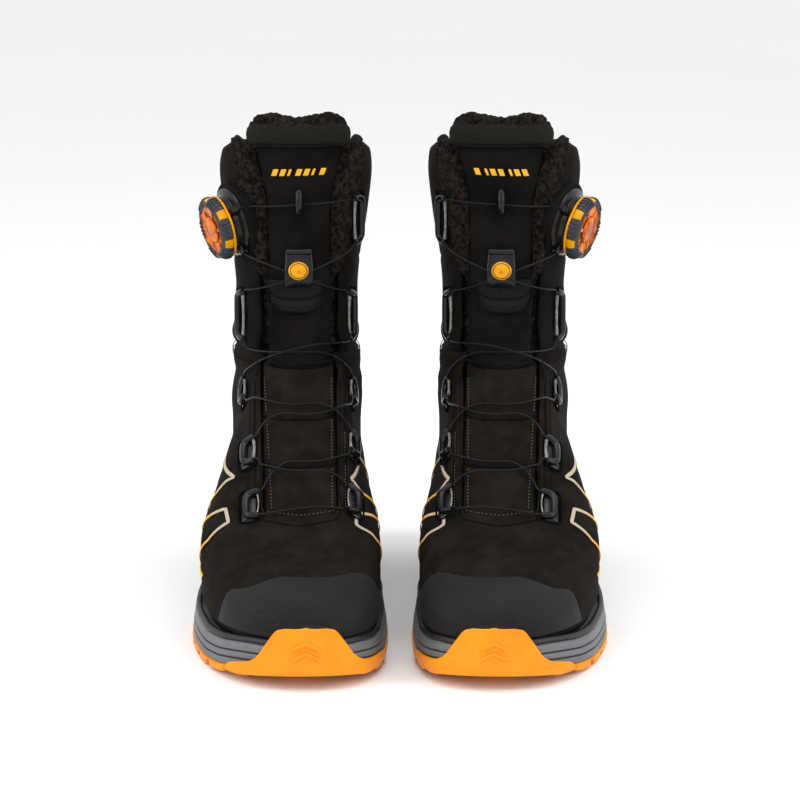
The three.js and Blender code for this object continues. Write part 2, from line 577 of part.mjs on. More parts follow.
// A round bar through the given points, its rings carried along without twist.
function tube(route, radius, sides = CABLE_SIDES) {
  let normal = new THREE.Vector3(0, 0, 1);
  return loft(route.map((p, i) => {
    const before = route[Math.max(i - 1, 0)];
    const after = route[Math.min(i + 1, route.length - 1)];
    const tangent = after.clone().sub(before).normalize();
    normal = normal.clone().addScaledVector(tangent, -normal.dot(tangent)).normalize();
    const other = new THREE.Vector3().crossVectors(tangent, normal);
    return Array.from({ length: sides }, (_, k) => {
      const a = (2 * Math.PI * k) / sides;
      return p.clone().addScaledVector(normal, radius * Math.cos(a)).addScaledVector(other, radius * Math.sin(a));
    });
  }));
}

// ---- Finishes ----
const finish = (color, roughness, metalness = 0) => new THREE.MeshStandardMaterial({ color, roughness, metalness });
const nubuck = finish(0x1c1917, 0.9);
const softShell = finish(0x171514, 0.85);
const pile = finish(0x1b1715, 1);
const knit = finish(0x121110, 0.95);
const guardRubber = finish(0x232323, 0.7);
const midsoleFoam = finish(0x45474a, 0.6);
const outsoleRubber = finish(0xf29a12, 0.55);
const blackPlastic = finish(0x0e0e0f, 0.3);
const dialPlastic = finish(0xd8760e, 0.3);
const coatedSteel = finish(0x141414, 0.35, 0.4);
const composite = finish(0x8a8d90, 0.5);
const boardCloth = finish(0xb9a67c, 0.9);
const footbedFoam = finish(0x2c2a2a, 0.95);

// ---- One boot ----
function pieces() {
  const route = cableRoute();
  const room = tube(route, (CABLE / 2 + CABLE_ROOM) * Math.SQRT2, 4);
  const made = {
    outsole: [outsole(), outsoleRubber],
    midsole: [midsole(), midsoleFoam],
    insole_board: [insoleBoard(), boardCloth],
    insole: [insole(), footbedFoam],
    toe_cap: [toeCap(), composite],
    toe_guard: [toeGuard(), guardRubber],
    heel_counter: [heelCounter(), guardRubber],
    foot_upper: [footUpper(), nubuck],
    cuff: [cuff(), softShell],
    pile_lining: [lining(), pile],
    tongue_vamp: [tongueVamp(), nubuck],
    tongue_shaft: [tongueShaft(), softShell],
    tongue_top_band: [tongueCuff(), knit],
    tongue_loop: [tongueLoop(), blackPlastic],
    tongue_tab: [tongueTab(), blackPlastic],
    tongue_tab_patch: [tongueTabPatch(), knit],
    dial_base: [dialBase(room), blackPlastic],
    dial_spool: [dialSpool(), blackPlastic],
    dial_core: [dialCore(), dialPlastic],
    dial_knob: [dialKnob(), dialPlastic],
    cable: [tube(route, CABLE / 2), coatedSteel],
  };
  for (const [name, place] of Object.entries(GUIDES)) made[name] = [guide(place, room), blackPlastic];
  return made;
}

// Only the largest closed body of a cut is the piece; anything else is a sliver from the cut.
function largest(solid) {
  return solid.decompose().reduce((a, b) => (b.volume() > a.volume() ? b : a));
}

function boot(prefix, made) {
  const group = new THREE.Group();
  for (const [name, [solid, material]] of Object.entries(made)) {
    const mesh = new THREE.Mesh(geometryOf(largest(solid)), material);
    mesh.name = prefix + name;
    group.add(mesh);
  }
  return group;
}

// ---- The pair, with its origin on the ground under the middle of its box ----
const made = pieces();
const pair = new THREE.Group();
for (const [prefix, side] of [["right_", -1], ["left_", 1]]) {
  const one = boot(prefix, made);
  one.position.x = side * (TOE_GAP / 2);
  one.rotation.z = THREE.MathUtils.degToRad(-side * TOE_IN);
  one.scale.x = -side;
  pair.add(one);
}
const box = new THREE.Box3().setFromObject(pair, true);
for (const one of pair.children) one.position.y = -(box.min.y + box.max.y) / 2;

export default pair;
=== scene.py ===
# %% [markdown]
# # A pair of insulated mountain boots
# The boots stand side by side: black nubuck and soft shell over a pile lining, a rubber toe guard, a layered
# midsole and a yellow-orange lugged outsole. One steel cable closes each boot, wound up by a dial on its side.
# One boot is modelled in its own frame, in millimetres: x to the big-toe side, y from the toe tip back to the
# heel, z up. Every piece is then stood in its place twice, the second time as its mirror image.

import math

import bmesh
import bpy
import numpy as np
from mathutils import Matrix, Vector, noise
from mathutils.bvhtree import BVHTree


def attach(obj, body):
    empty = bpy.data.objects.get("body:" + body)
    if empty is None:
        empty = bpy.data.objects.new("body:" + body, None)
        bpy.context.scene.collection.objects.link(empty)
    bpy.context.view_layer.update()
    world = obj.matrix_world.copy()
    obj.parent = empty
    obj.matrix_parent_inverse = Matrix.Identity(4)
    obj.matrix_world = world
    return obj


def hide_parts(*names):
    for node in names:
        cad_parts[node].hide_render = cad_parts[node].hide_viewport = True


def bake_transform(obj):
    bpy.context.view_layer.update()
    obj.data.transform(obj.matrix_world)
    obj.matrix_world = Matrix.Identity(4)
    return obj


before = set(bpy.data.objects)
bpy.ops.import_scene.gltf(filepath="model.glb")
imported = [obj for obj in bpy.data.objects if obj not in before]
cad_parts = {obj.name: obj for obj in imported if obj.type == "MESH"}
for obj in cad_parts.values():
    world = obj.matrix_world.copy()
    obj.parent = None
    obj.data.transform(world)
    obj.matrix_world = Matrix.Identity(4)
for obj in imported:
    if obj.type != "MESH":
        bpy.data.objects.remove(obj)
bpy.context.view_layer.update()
bpy.ops.object.select_all(action="DESELECT")

# %% [markdown]
# ## Camera, light and floor
# A long lens from a metre and a half keeps the two boots upright, and the camera looks down on the toes a little.
# Big soft lamps make the long highlights that black leather and plastic need to be read at all.

# %% Camera
camera_data = bpy.data.cameras.new("camera")
camera_data.lens = 124.2
camera_data.sensor_width = 36
camera_data.clip_end = 50
camera = bpy.data.objects.new("camera", camera_data)
camera.location = (0, -1.6125, 0.483)
camera.rotation_euler = (math.radians(90 - 12.3), 0, 0)
bpy.context.scene.collection.objects.link(camera)
bpy.context.scene.camera = camera

# %% Lamps, world and floor
def lamp(name, size, power, place, target=(0, 0, 0.13)):
    data = bpy.data.lights.new(name, "AREA")
    data.shape = "RECTANGLE"
    data.size, data.size_y = size
    data.energy = power
    light = bpy.data.objects.new(name, data)
    light.location = place
    light.rotation_euler = (Vector(target) - Vector(place)).to_track_quat("-Z", "Y").to_euler()
    bpy.context.scene.collection.objects.link(light)


lamp("overhead", (1.2, 0.8), 9, (0, -0.1, 1.7))
lamp("left_window", (0.3, 1.2), 7, (-1.3, -0.5, 0.8))
lamp("right_window", (0.3, 1.2), 7, (1.3, -0.5, 0.8))
lamp("front_low", (0.9, 0.3), 2, (0, -2.2, 1.3))

world = bpy.data.worlds.new("studio")
world.use_nodes = True
world.node_tree.nodes["Background"].inputs["Color"].default_value = (1, 1, 1, 1)
world.node_tree.nodes["Background"].inputs["Strength"].default_value = 1.0
bpy.context.scene.world = world
bpy.context.scene.view_settings.view_transform = "Standard"

bpy.ops.mesh.primitive_plane_add(size=30, location=(0, 0, 0))
floor = bpy.context.object
floor.name = "floor"

# %% [markdown]
# ## Finishes
# Each finish is a node tree on one Principled shader. The small class below lets the tree be written as sums and
# products, and one method adds any node. What is the same all over a surface is set on the shader itself.

# %% Shader maths
class Value:
    """One output in a finish's tree; the operators add Math nodes behind it."""

    def __init__(self, finish, socket):
        self.finish = finish
        self.socket = socket

    def math(self, operation, *others):
        return self.finish.node("ShaderNodeMath", {"operation": operation}, self, *others)

    def __add__(self, other):
        return self.math("ADD", other)

    __radd__ = __add__

    def __mul__(self, other):
        return self.math("MULTIPLY", other)

    __rmul__ = __mul__

    def __sub__(self, other):
        return self.math("SUBTRACT", other)

    def __rsub__(self, other):
        return self.finish.node("ShaderNodeMath", {"operation": "SUBTRACT"}, other, self)

    def clamp(self, low, high):
        """0 at low and 1 at high, with soft ends."""
        return self.finish.node("ShaderNodeMapRange", {"interpolation_type": "SMOOTHSTEP"}, self, low, high, 0.0, 1.0)


class Finish:
    """A material for one of the boots' finishes."""

    def __init__(self, name, **fixed):
        self.material = bpy.data.materials.new(name)
        self.material.use_nodes = True
        self.tree = self.material.node_tree
        self.shader = self.tree.nodes["Principled BSDF"]
        for socket, value in fixed.items():
            self.shader.inputs[socket.replace("_", " ")].default_value = value

    def node(self, kind, settings, *values, output=0, **named):
        node = self.tree.nodes.new(kind)
        for key, value in settings.items():
            setattr(node, key, value)
        for key, value in [*enumerate(values), *((k.replace("_", " "), v) for k, v in named.items())]:
            if isinstance(value, Value):
                self.tree.links.new(value.socket, node.inputs[key])
            else:
                node.inputs[key].default_value = value
        return Value(self, node.outputs[output])

    def place(self, stretch=(1, 1, 1), source="Object"):
        """The point on the piece in millimetres, or its own map, stretched for a pattern."""
        point = self.node("ShaderNodeTexCoord", {}, output=source)
        return self.node("ShaderNodeMapping", {}, point, Scale=[1000 * s for s in stretch])

    def noise(self, size, detail=3, rough=0.6, stretch=(1, 1, 1), source="Object"):
        """Clouds with features about this many millimetres across."""
        where = self.place([s / size for s in stretch], source)
        return self.node("ShaderNodeTexNoise", {}, Vector=where, Scale=1.0, Detail=detail, Roughness=rough)

    def cells(self, size, feature="F1", stretch=(1, 1, 1), source="Object"):
        where = self.place([s / size for s in stretch], source)
        return self.node("ShaderNodeTexVoronoi", {"feature": feature}, Vector=where, Scale=1.0)

    def mix(self, share, first, second):
        colour = {"data_type": "RGBA"}
        first = (*first, 1) if isinstance(first, tuple) else first
        second = (*second, 1) if isinstance(second, tuple) else second
        node = self.tree.nodes.new("ShaderNodeMix")
        node.data_type = colour["data_type"]
        for key, value in ((0, share), (6, first), (7, second)):
            if isinstance(value, Value):
                self.tree.links.new(value.socket, node.inputs[key])
            else:
                node.inputs[key].default_value = value
        return Value(self, node.outputs[2])

    def feed(self, socket, value):
        self.tree.links.new(value.socket, self.shader.inputs[socket])

    def relief(self, height, depth, strength=1.0):
        """Bump from a height of 0 to 1; depth is in millimetres."""
        bump = self.node("ShaderNodeBump", {}, Height=height, Distance=depth / 1000, Strength=strength)
        self.feed("Normal", bump)

    def split(self, vector):
        node = self.tree.nodes.new("ShaderNodeSeparateXYZ")
        self.tree.links.new(vector.socket, node.inputs[0])
        return [Value(self, out) for out in node.outputs]


finishes = {}


def finish(name, **fixed):
    finishes[name] = Finish(name, **fixed)
    return finishes[name]


# %% [markdown]
# ### Leather and cloth
# Nubuck is leather with its grain brushed up: matt, with a nap that lies lighter and darker in patches and a
# faint bloom at grazing angles. Soft shell is a tight smooth weave. Pile is curled wool, almost all shadow.

# %% Nubuck, soft shell, knit, pile, felt and lining
nubuck = finish("nubuck", Roughness=0.9, Specular_IOR_Level=0.06)
nap = nubuck.noise(16, 5, 0.62)
grain = nubuck.noise(0.55, 4, 0.7)
nubuck.feed("Base Color", nubuck.mix((nap * 0.7 + grain * 0.3).clamp(0.35, 0.68), (0.0050, 0.0041, 0.0034),
                                     (0.0138, 0.0113, 0.0094)))
nubuck.feed("Roughness", 0.8 + nap * 0.2)
nubuck.relief(grain * 0.6 + nubuck.noise(2.4, 3) * 0.4, 0.35, 0.6)

soft_shell = finish("soft_shell", Roughness=0.78, Specular_IOR_Level=0.05)
weave = soft_shell.cells(0.55, "F1", (1, 1.6, 1))
cloud = soft_shell.noise(22, 4)
soft_shell.feed("Base Color", soft_shell.mix((cloud * 0.75 + weave * 0.25).clamp(0.3, 0.7), (0.0032, 0.0027, 0.0024),
                                             (0.0082, 0.0070, 0.0061)))
soft_shell.feed("Roughness", 0.7 + cloud * 0.18)
soft_shell.relief(weave, 0.18, 0.5)

knit = finish("knit", Roughness=0.85, Specular_IOR_Level=0.08)
u, v, _ = knit.split(knit.place((1 / 2.2, 1 / 1.6, 1), "UV"))
loops = (u * math.tau).math("SINE") * (v * math.tau).math("SINE")
knit.feed("Base Color", knit.mix(loops.clamp(-0.5, 0.7), (0.0012, 0.0011, 0.001), (0.030, 0.0275, 0.024)))
knit.feed("Roughness", 0.9 - loops.clamp(0, 1) * 0.3)
knit.relief(loops * 0.5 + 0.5, 0.7, 0.9)

pile = finish("pile", Roughness=0.95, Sheen_Weight=0.02, Sheen_Roughness=0.5, Specular_IOR_Level=0.04)
curl = pile.noise(1.7, 6, 0.75)
clump = pile.cells(2.9, "SMOOTH_F1")
# Partly painted light: the colour follows the curl noise that also sets the bump. The curl tops are painted lighter as
# highlights and the hollows darker as shade, over the wool's own near-black.
pile.feed("Base Color", pile.mix((curl * 0.8 + clump * 0.4).clamp(0.42, 0.82), (0.0012, 0.0010, 0.0009),
                                 (0.032, 0.0255, 0.0205)))
pile.feed("Roughness", 0.9 + curl * 0.1)
pile.relief(curl, 2.2, 1.0)

felt = finish("felt", Roughness=0.95, Specular_IOR_Level=0.08)
fibre = felt.noise(0.9, 6, 0.75)
felt.feed("Base Color", felt.mix(fibre.clamp(0.3, 0.7), (0.004, 0.0037, 0.0034), (0.014, 0.013, 0.0122)))
felt.feed("Roughness", 0.9 + fibre * 0.1)
felt.relief(fibre, 0.4, 0.8)

# %% [markdown]
# ### Rubber, foam, plastic and steel
# The toe guard has a fine moulded texture, rows of tiny dots that run round the toe, so its pattern follows the
# piece's own map. Midsole foam has a skin with a faint grain. The outsole is a satin gum. The dial is clear amber.

# %% Toe guard, midsole and outsole
guard = finish("guard_rubber", Roughness=0.55, Specular_IOR_Level=0.2)
u, v, _ = guard.split(guard.place((1 / 1.3, 1 / 1.05, 1), "UV"))
dots = ((u * math.tau).math("SINE") + (v * math.tau).math("SINE")).clamp(-0.6, 1.5)
scuff = guard.noise(14, 5, 0.65)
guard.feed("Base Color", guard.mix((dots * 0.5 + scuff * 0.5).clamp(0.25, 0.8), (0.0045, 0.0046, 0.0048),
                                   (0.0225, 0.0228, 0.023)))
guard.feed("Roughness", 0.42 + scuff * 0.25)
guard.relief(dots, 0.6, 0.9)

foam = finish("midsole_foam", Roughness=0.5, Specular_IOR_Level=0.5)
skin_grain = foam.noise(0.9, 4, 0.6)
foam_cloud = foam.noise(30, 3)
foam.feed("Base Color", foam.mix((skin_grain * 0.4 + foam_cloud * 0.6).clamp(0.3, 0.7), (0.095, 0.099, 0.106),
                                 (0.150, 0.156, 0.166)))
foam.feed("Roughness", 0.4 + skin_grain * 0.22)
foam.relief(skin_grain, 0.15, 0.5)

rand = finish("black_rubber", Roughness=0.5, Specular_IOR_Level=0.45)
rand_grain = rand.noise(0.8, 4)
rand.feed("Base Color", rand.mix(rand_grain.clamp(0.3, 0.7), (0.0055, 0.0055, 0.0058), (0.013, 0.013, 0.0135)))
rand.feed("Roughness", 0.42 + rand_grain * 0.2)
rand.relief(rand_grain, 0.15, 0.5)

gum = finish("outsole_rubber", Roughness=0.42, Specular_IOR_Level=0.22, Subsurface_Weight=0.05, Subsurface_Scale=0.002)
gum_cloud = gum.noise(26, 3)
gum_grain = gum.noise(0.7, 3)
gum.feed("Base Color", gum.mix((gum_cloud * 0.7 + gum_grain * 0.3).clamp(0.3, 0.7), (0.80, 0.235, 0.003),
                               (0.90, 0.305, 0.006)))
gum.feed("Roughness", 0.36 + gum_grain * 0.18)
gum.relief(gum_grain, 0.1, 0.4)

# %% Plastics, steel, thread and print
gloss = finish("black_plastic", Roughness=0.2, Specular_IOR_Level=0.26)
wear = gloss.noise(5, 4)
gloss.feed("Base Color", gloss.mix(wear.clamp(0.3, 0.7), (0.0035, 0.0035, 0.0038), (0.008, 0.008, 0.0085)))
gloss.feed("Roughness", 0.14 + wear * 0.16)

amber = finish("dial_plastic", Roughness=0.3, Specular_IOR_Level=0.14)
swirl = amber.noise(7, 4)
amber.feed("Base Color", amber.mix(swirl.clamp(0.38, 0.66), (0.30, 0.048, 0.0005), (0.80, 0.19, 0.001)))
amber.feed("Roughness", 0.1 + swirl * 0.14)
amber.relief(swirl, 0.2, 0.2)

yolk = finish("dial_yellow", Roughness=0.3, Specular_IOR_Level=0.2)
tint = yolk.noise(6, 3)
yolk.feed("Base Color", yolk.mix(tint.clamp(0.3, 0.7), (0.66, 0.26, 0.002), (0.80, 0.36, 0.004)))
yolk.feed("Roughness", 0.25 + tint * 0.15)

grip = finish("grip_rubber", Roughness=0.4, Specular_IOR_Level=0.4)
grip_grain = grip.noise(1.2, 4)
grip.feed("Base Color", grip.mix(grip_grain.clamp(0.3, 0.7), (0.010, 0.0115, 0.015), (0.026, 0.030, 0.037)))
grip.feed("Roughness", 0.36 + grip_grain * 0.2)
grip.relief(grip_grain, 0.12, 0.5)

steel = finish("coated_steel", Roughness=0.28, Metallic=0.1, Specular_IOR_Level=0.2)
u, v, _ = steel.split(steel.place((1 / 3.2, 1 / 1.0, 1), "UV"))
strands = ((u + v) * math.tau).math("SINE")
steel.feed("Base Color", steel.mix(strands.clamp(-1, 1), (0.002, 0.002, 0.0022), (0.010, 0.010, 0.0105)))
steel.feed("Roughness", 0.34 - strands * 0.06)
steel.relief(strands * 0.5 + 0.5, 0.15, 0.5)

thread = finish("grey_thread", Roughness=0.7, Specular_IOR_Level=0.2)
ply = thread.noise(0.5, 3)
thread.feed("Base Color", thread.mix(ply.clamp(0.3, 0.7), (0.035, 0.032, 0.028), (0.085, 0.078, 0.068)))
thread.feed("Roughness", 0.6 + ply * 0.2)
thread.relief(ply, 0.1, 0.5)

dark_thread = finish("black_thread", Roughness=0.7, Specular_IOR_Level=0.1)
dark_ply = dark_thread.noise(0.5, 3)
dark_thread.feed("Base Color", dark_thread.mix(dark_ply.clamp(0.3, 0.7), (0.002, 0.0018, 0.0016), (0.008, 0.0073, 0.0066)))
dark_thread.feed("Roughness", 0.6 + dark_ply * 0.2)

print_ink = finish("printed_line", Roughness=0.5, Specular_IOR_Level=0.4)
u, v, _ = print_ink.split(print_ink.place((1, 1, 1), "UV"))
crack = print_ink.noise(1.5, 3)
print_ink.feed("Base Color", print_ink.mix((u + crack * 4 - 2).clamp(0, 14), (0.42, 0.36, 0.27), (0.82, 0.40, 0.02)))
print_ink.feed("Roughness", 0.42 + crack * 0.2)

sun = finish("yellow_mark", Roughness=0.4)
sun_grain = sun.noise(1.5, 3)
sun.feed("Base Color", sun.mix(sun_grain.clamp(0.3, 0.7), (0.68, 0.33, 0.002), (0.80, 0.42, 0.004)))
sun.feed("Roughness", 0.36 + sun_grain * 0.15)

# Painted highlight: the guides are glossy black all over, and this pale grey paints the crescent reflections of the
# lamps on them. Its patches only vary that painted highlight.
guide_highlight_paint = finish("painted_guide_highlight", Roughness=0.22, Specular_IOR_Level=0.45)
highlight_patches = guide_highlight_paint.noise(4, 4)
guide_highlight_paint.feed("Base Color", guide_highlight_paint.mix(highlight_patches.clamp(0.3, 0.7), (0.10, 0.097, 0.088), (0.26, 0.25, 0.23)))
guide_highlight_paint.feed("Roughness", 0.16 + highlight_patches * 0.16)

paper = Finish("floor", Roughness=0.6)
paper.feed("Base Color", paper.mix(paper.noise(900, 2).clamp(0.2, 0.8), (0.86, 0.86, 0.86), (0.88, 0.88, 0.88)))
floor.data.materials.append(paper.material)
print(len(finishes), "finishes")

# %% [markdown]
# ## The last
# Boots are pulled over a last, a foot-shaped block. Here it is a row of sections that fan from upright at the
# toe to level at the cuff, each one a squared ellipse. Every panel is then a patch of this one surface, so that
# panels, seams, stitches and cable all lie on it without any fitting.

# %% The sections
TOE_GAP, TOE_IN, HEEL_SHIFT = 110, math.radians(1.8), -150.51
TOE_LEAN, TOE_STATION = 3, 4
FULL, RIGHT_ANGLE = math.tau, math.pi / 2
# front y, z; back y, z; half width to the little toe and to the big toe; place of the widest; squareness
STATIONS = np.array([
    (4, 35, 5, 25, 16, 18, 0.40, 2.2, 2.6), (9, 44, 10, 23, 26, 27, 0.36, 2.3, 3.0),
    (20, 51.5, 20, 21.5, 37, 36, 0.33, 2.4, 3.4), (38, 58, 38, 20.5, 47, 42.5, 0.30, 2.5, 3.6),
    (62, 65.5, 62, 20, 53.5, 45.5, 0.28, 2.5, 4.0), (88, 77, 92, 20, 58, 46.5, 0.27, 2.5, 4.0),
    (110, 93, 122, 20, 56, 44, 0.26, 2.6, 4.0), (132, 112, 152, 20, 50, 41, 0.27, 2.6, 4.0),
    (150, 128, 190, 20, 45, 39, 0.30, 2.5, 4.0), (163, 142, 234, 20, 42, 38, 0.34, 2.4, 3.6),
    (170, 152, 274, 20.5, 40, 37, 0.36, 2.3, 3.2), (173, 158, 297, 31, 39.5, 36.5, 0.38, 2.3, 2.7),
    (175, 163, 301, 54, 39.5, 36.5, 0.40, 2.3, 2.4), (177, 170, 296, 90, 40.5, 37, 0.43, 2.3, 2.3),
    (179, 180, 288, 128, 40.5, 35, 0.46, 2.3, 2.3), (181.5, 196, 286, 166, 39.5, 35.5, 0.50, 2.3, 2.3),
    (184, 215, 290, 200, 41.5, 37.5, 0.50, 2.3, 2.3), (185.5, 238, 296, 232, 47, 42.5, 0.50, 2.3, 2.3),
    (185, 262, 300, 258, 49, 45.5, 0.50, 2.3, 2.3), (184, 280, 300, 278, 45, 43, 0.50, 2.3, 2.3),
    (183, 298, 298, 298, 39, 39, 0.50, 2.3, 2.3)], float)


def section_sizes(t):
    """The nine numbers of a section anywhere along the row, as a smooth curve through the stations."""
    t = np.clip(t, 0, len(STATIONS) - 1 - 1e-9)
    i = np.minimum(np.floor(t).astype(int), len(STATIONS) - 2)
    f = (t - i)[..., None]
    a, b, c, d = (STATIONS[np.clip(i + k, 0, len(STATIONS) - 1)] for k in (-1, 0, 1, 2))
    return np.moveaxis(b + f * (c - a + f * (2 * a - 5 * b + 4 * c - d + f * (3 * (b - c) + d - a))) / 2, -1, 0)


def last(t, turn):
    """A point of the last: t along the row, turn round it, 90 degrees at the front. t under 0 closes the nose."""
    t, turn = np.broadcast_arrays(np.asarray(t, float), np.asarray(turn, float))
    fy, fz, by, bz, lateral, medial, widest, square_f, square_b = section_sizes(np.maximum(t, 0))
    my, mz = by + (fy - by) * widest, bz + (fz - bz) * widest
    c, s = np.cos(turn), np.sin(turn)
    m = np.where(s >= 0, square_f, square_b)
    reach = (np.abs(c) ** m + np.abs(s) ** m) ** (-1 / m)
    lean = TOE_LEAN * np.clip(1 - t / TOE_STATION, 0, 1)
    x = lean + reach * c * np.where(c > 0, medial, lateral)
    k = reach * np.abs(s)
    y = my + (np.where(s >= 0, fy, by) - my) * k
    z = mz + (np.where(s >= 0, fz, bz) - mz) * k
    nose = np.clip(-t, 0, 1) * RIGHT_ANGLE
    x = lean + (x - lean) * np.cos(nose)
    y = my + (y - my) * np.cos(nose) - 3 * np.sin(nose)
    z = mz + (z - mz) * np.cos(nose)
    return np.stack([x, y, z], -1)


def outward(t, turn):
    """The direction out of the last."""
    e = 0.02
    along = last(np.minimum(t + e, 20), turn) - last(np.maximum(t - e, -0.98), turn)
    round_it = last(t, turn + e) - last(t, turn - e)
    n = np.cross(along, round_it)
    return n / np.maximum(np.linalg.norm(n, axis=-1, keepdims=True), 1e-9)


def solve(rising, low, high, shape=()):
    """Where a rising function of one number passes zero, for a whole array at once."""
    low, high = np.full(shape, float(low)), np.full(shape, float(high))
    for _ in range(20):
        middle = (low + high) / 2
        under = rising(middle) < 0
        low, high = np.where(under, middle, low), np.where(under, high, middle)
    return (low + high) / 2


def front_edge(t, half, side):
    """The turn where the front of the last is half(z) wide to one side: side 1 is medial, -1 lateral."""
    half = half[side > 0] if isinstance(half, tuple) else half

    def over(away):
        p = last(t, RIGHT_ANGLE - side * away)
        return side * p[..., 0] - half(p[..., 2])
    return RIGHT_ANGLE - side * solve(over, 0, RIGHT_ANGLE, np.shape(t))


def line(points):
    """A value read off a line of points, for arrays."""
    xs, ys = zip(*points)
    return lambda x: np.interp(x, xs, ys)


check = outward(np.array([5.0]), np.array([RIGHT_ANGLE]))[0]
print("the instep faces", check.round(2))

# %% [markdown]
# ## Tools for panels
# A panel is a grid on the last, given a wall and a rounded rim all round, as a cut and skived piece of leather
# has. A bar is a round cord along a line, for piping, and stitches are small beads of thread set along a line.

# %% Meshes and standing them in pairs
def make(name, points, faces, uv=None):
    """A mesh object from points in millimetres."""
    mesh = bpy.data.meshes.new(name)
    mesh.from_pydata((np.asarray(points, float) / 1000).tolist(), [], [tuple(int(i) for i in f) for f in faces])
    if uv is not None:
        layer = mesh.uv_layers.new(name="UVMap")
        loops = np.array([loop.vertex_index for loop in mesh.loops])
        layer.data.foreach_set("uv", (np.asarray(uv)[loops] / 1000).astype(np.float32).ravel())
    piece = bpy.data.objects.new(name, mesh)
    bpy.context.scene.collection.objects.link(piece)
    tidy(piece)
    return piece


def tidy(piece, angle=None):
    """Faces out, and smooth shading."""
    work = bmesh.new()
    work.from_mesh(piece.data)
    bmesh.ops.recalc_face_normals(work, faces=work.faces)
    work.to_mesh(piece.data)
    work.free()
    piece.data.shade_smooth()
    if angle:
        only(piece)
        bpy.ops.object.shade_smooth_by_angle(angle=math.radians(angle))


def only(*chosen):
    bpy.ops.object.select_all(action="DESELECT")
    for piece in chosen:
        piece.select_set(True)
    bpy.context.view_layer.objects.active = chosen[0]


def apply(piece, kind, **settings):
    """Adds a modifier and applies it."""
    modifier = piece.modifiers.new(kind.lower(), kind)
    for key, value in settings.items():
        setattr(modifier, key, value)
    only(piece)
    bpy.ops.object.modifier_apply(modifier=modifier.name)
    return piece


def join(*pieces):
    only(*pieces)
    bpy.ops.object.join()
    return pieces[0]


def place_of(side):
    """From the boot's frame to the pair's: s is -1 for the right boot and 1 for the left."""
    s = -1 if side == "right" else 1
    shift = Matrix.Translation((s * TOE_GAP / 2000, HEEL_SHIFT / 1000, 0))
    return shift @ Matrix.Rotation(-s * TOE_IN, 4, "Z") @ Matrix.Diagonal((-s, 1, 1, 1))


def stand(piece, body, slot, *nodes, look=None, padded=None, bend=None):
    """Stands the modelled piece in both boots, on a body, in place of the frame's nodes."""
    name, stood = piece.name, []
    for side in ("right", "left"):
        twin = bpy.data.objects.new(f"{side}_{name}", piece.data.copy())
        bpy.context.scene.collection.objects.link(twin)
        twin.data.transform(place_of(side))
        if side == "left":
            twin.data.flip_normals()
        if look is not None:
            twin.data.materials.clear()
            twin.data.materials.append(look.material)
        if bend:
            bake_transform(twin)
        else:
            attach(twin, f"{side}_{body}")
        if nodes:
            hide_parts(*(f"{side}_{node}" for node in nodes))
        stood.append(twin)
    print(f"{name}: {len(piece.data.polygons)} faces")
    bpy.data.objects.remove(piece)
    return stood


# %% Walls, panels, bars and stitches
def thicken(name, points, normals, faces, wall, uv=None):
    """A closed wall under a sheet of faces, with a rounded rim along every free edge."""
    points, normals = np.asarray(points, float), np.asarray(normals, float)
    sides = {}
    for face in faces:
        for a, b in zip(face, (*face[1:], face[0])):
            sides[a, b] = face
    rim = [(a, b) for a, b in sides if (b, a) not in sides]
    push = {}
    for a, b in rim:
        centre = points[list(sides[a, b])].mean(0)
        for k in (a, b):
            push[k] = push.get(k, 0) + points[k] - centre
    ring = {k: len(points) + i for i, k in enumerate(push)}
    bulge = []
    for k, d in push.items():
        d = d - normals[k] * np.dot(d, normals[k])
        d = d / max(np.linalg.norm(d), 1e-9)
        bulge.append(points[k] - normals[k] * wall / 2 + d * wall * 0.42)
    start = len(points) + len(bulge)
    everything = np.vstack([points, np.array(bulge).reshape(-1, 3), points - normals * wall])
    walls = list(map(tuple, faces)) + [tuple(start + k for k in reversed(face)) for face in faces]
    for a, b in rim:
        walls += [(b, a, ring[a], ring[b]), (ring[b], ring[a], start + a, start + b)]
    if uv is not None:
        uv = np.asarray(uv)
        uv = np.vstack([uv, uv[list(push)], uv])
    return make(name, everything, walls, uv)


def grid_faces(rows, cols, wrap=False, first=0):
    """Faces of a grid of points, row by row; wrap joins the last column to the first."""
    faces = []
    for i in range(rows - 1):
        for j in range(cols if wrap else cols - 1):
            k = (j + 1) % cols
            faces.append((first + i * cols + j, first + i * cols + k, first + (i + 1) * cols + k,
                          first + (i + 1) * cols + j))
    return faces


def lengths(grid):
    """A map of a grid in millimetres, measured along its columns and its rows."""
    across = np.linalg.norm(np.diff(grid, axis=1, prepend=grid[:, :1]), axis=-1).cumsum(1)
    up = np.linalg.norm(np.diff(grid, axis=0, prepend=grid[:1]), axis=-1).cumsum(0)
    across -= across[:, -1:] / 2
    return np.stack([across, up], -1).reshape(-1, 2)


def panel(name, t, turn, lift, wall, wrap=False):
    """A panel on the last. t and turn are grids; lift is how far out it stands."""
    t, turn, lift = np.broadcast_arrays(t, turn, lift)
    normals = outward(t, turn)
    grid = last(t, turn) + normals * lift[..., None]
    return thicken(name, grid.reshape(-1, 3), normals.reshape(-1, 3), grid_faces(*grid.shape[:2], wrap), wall,
                   lengths(grid))


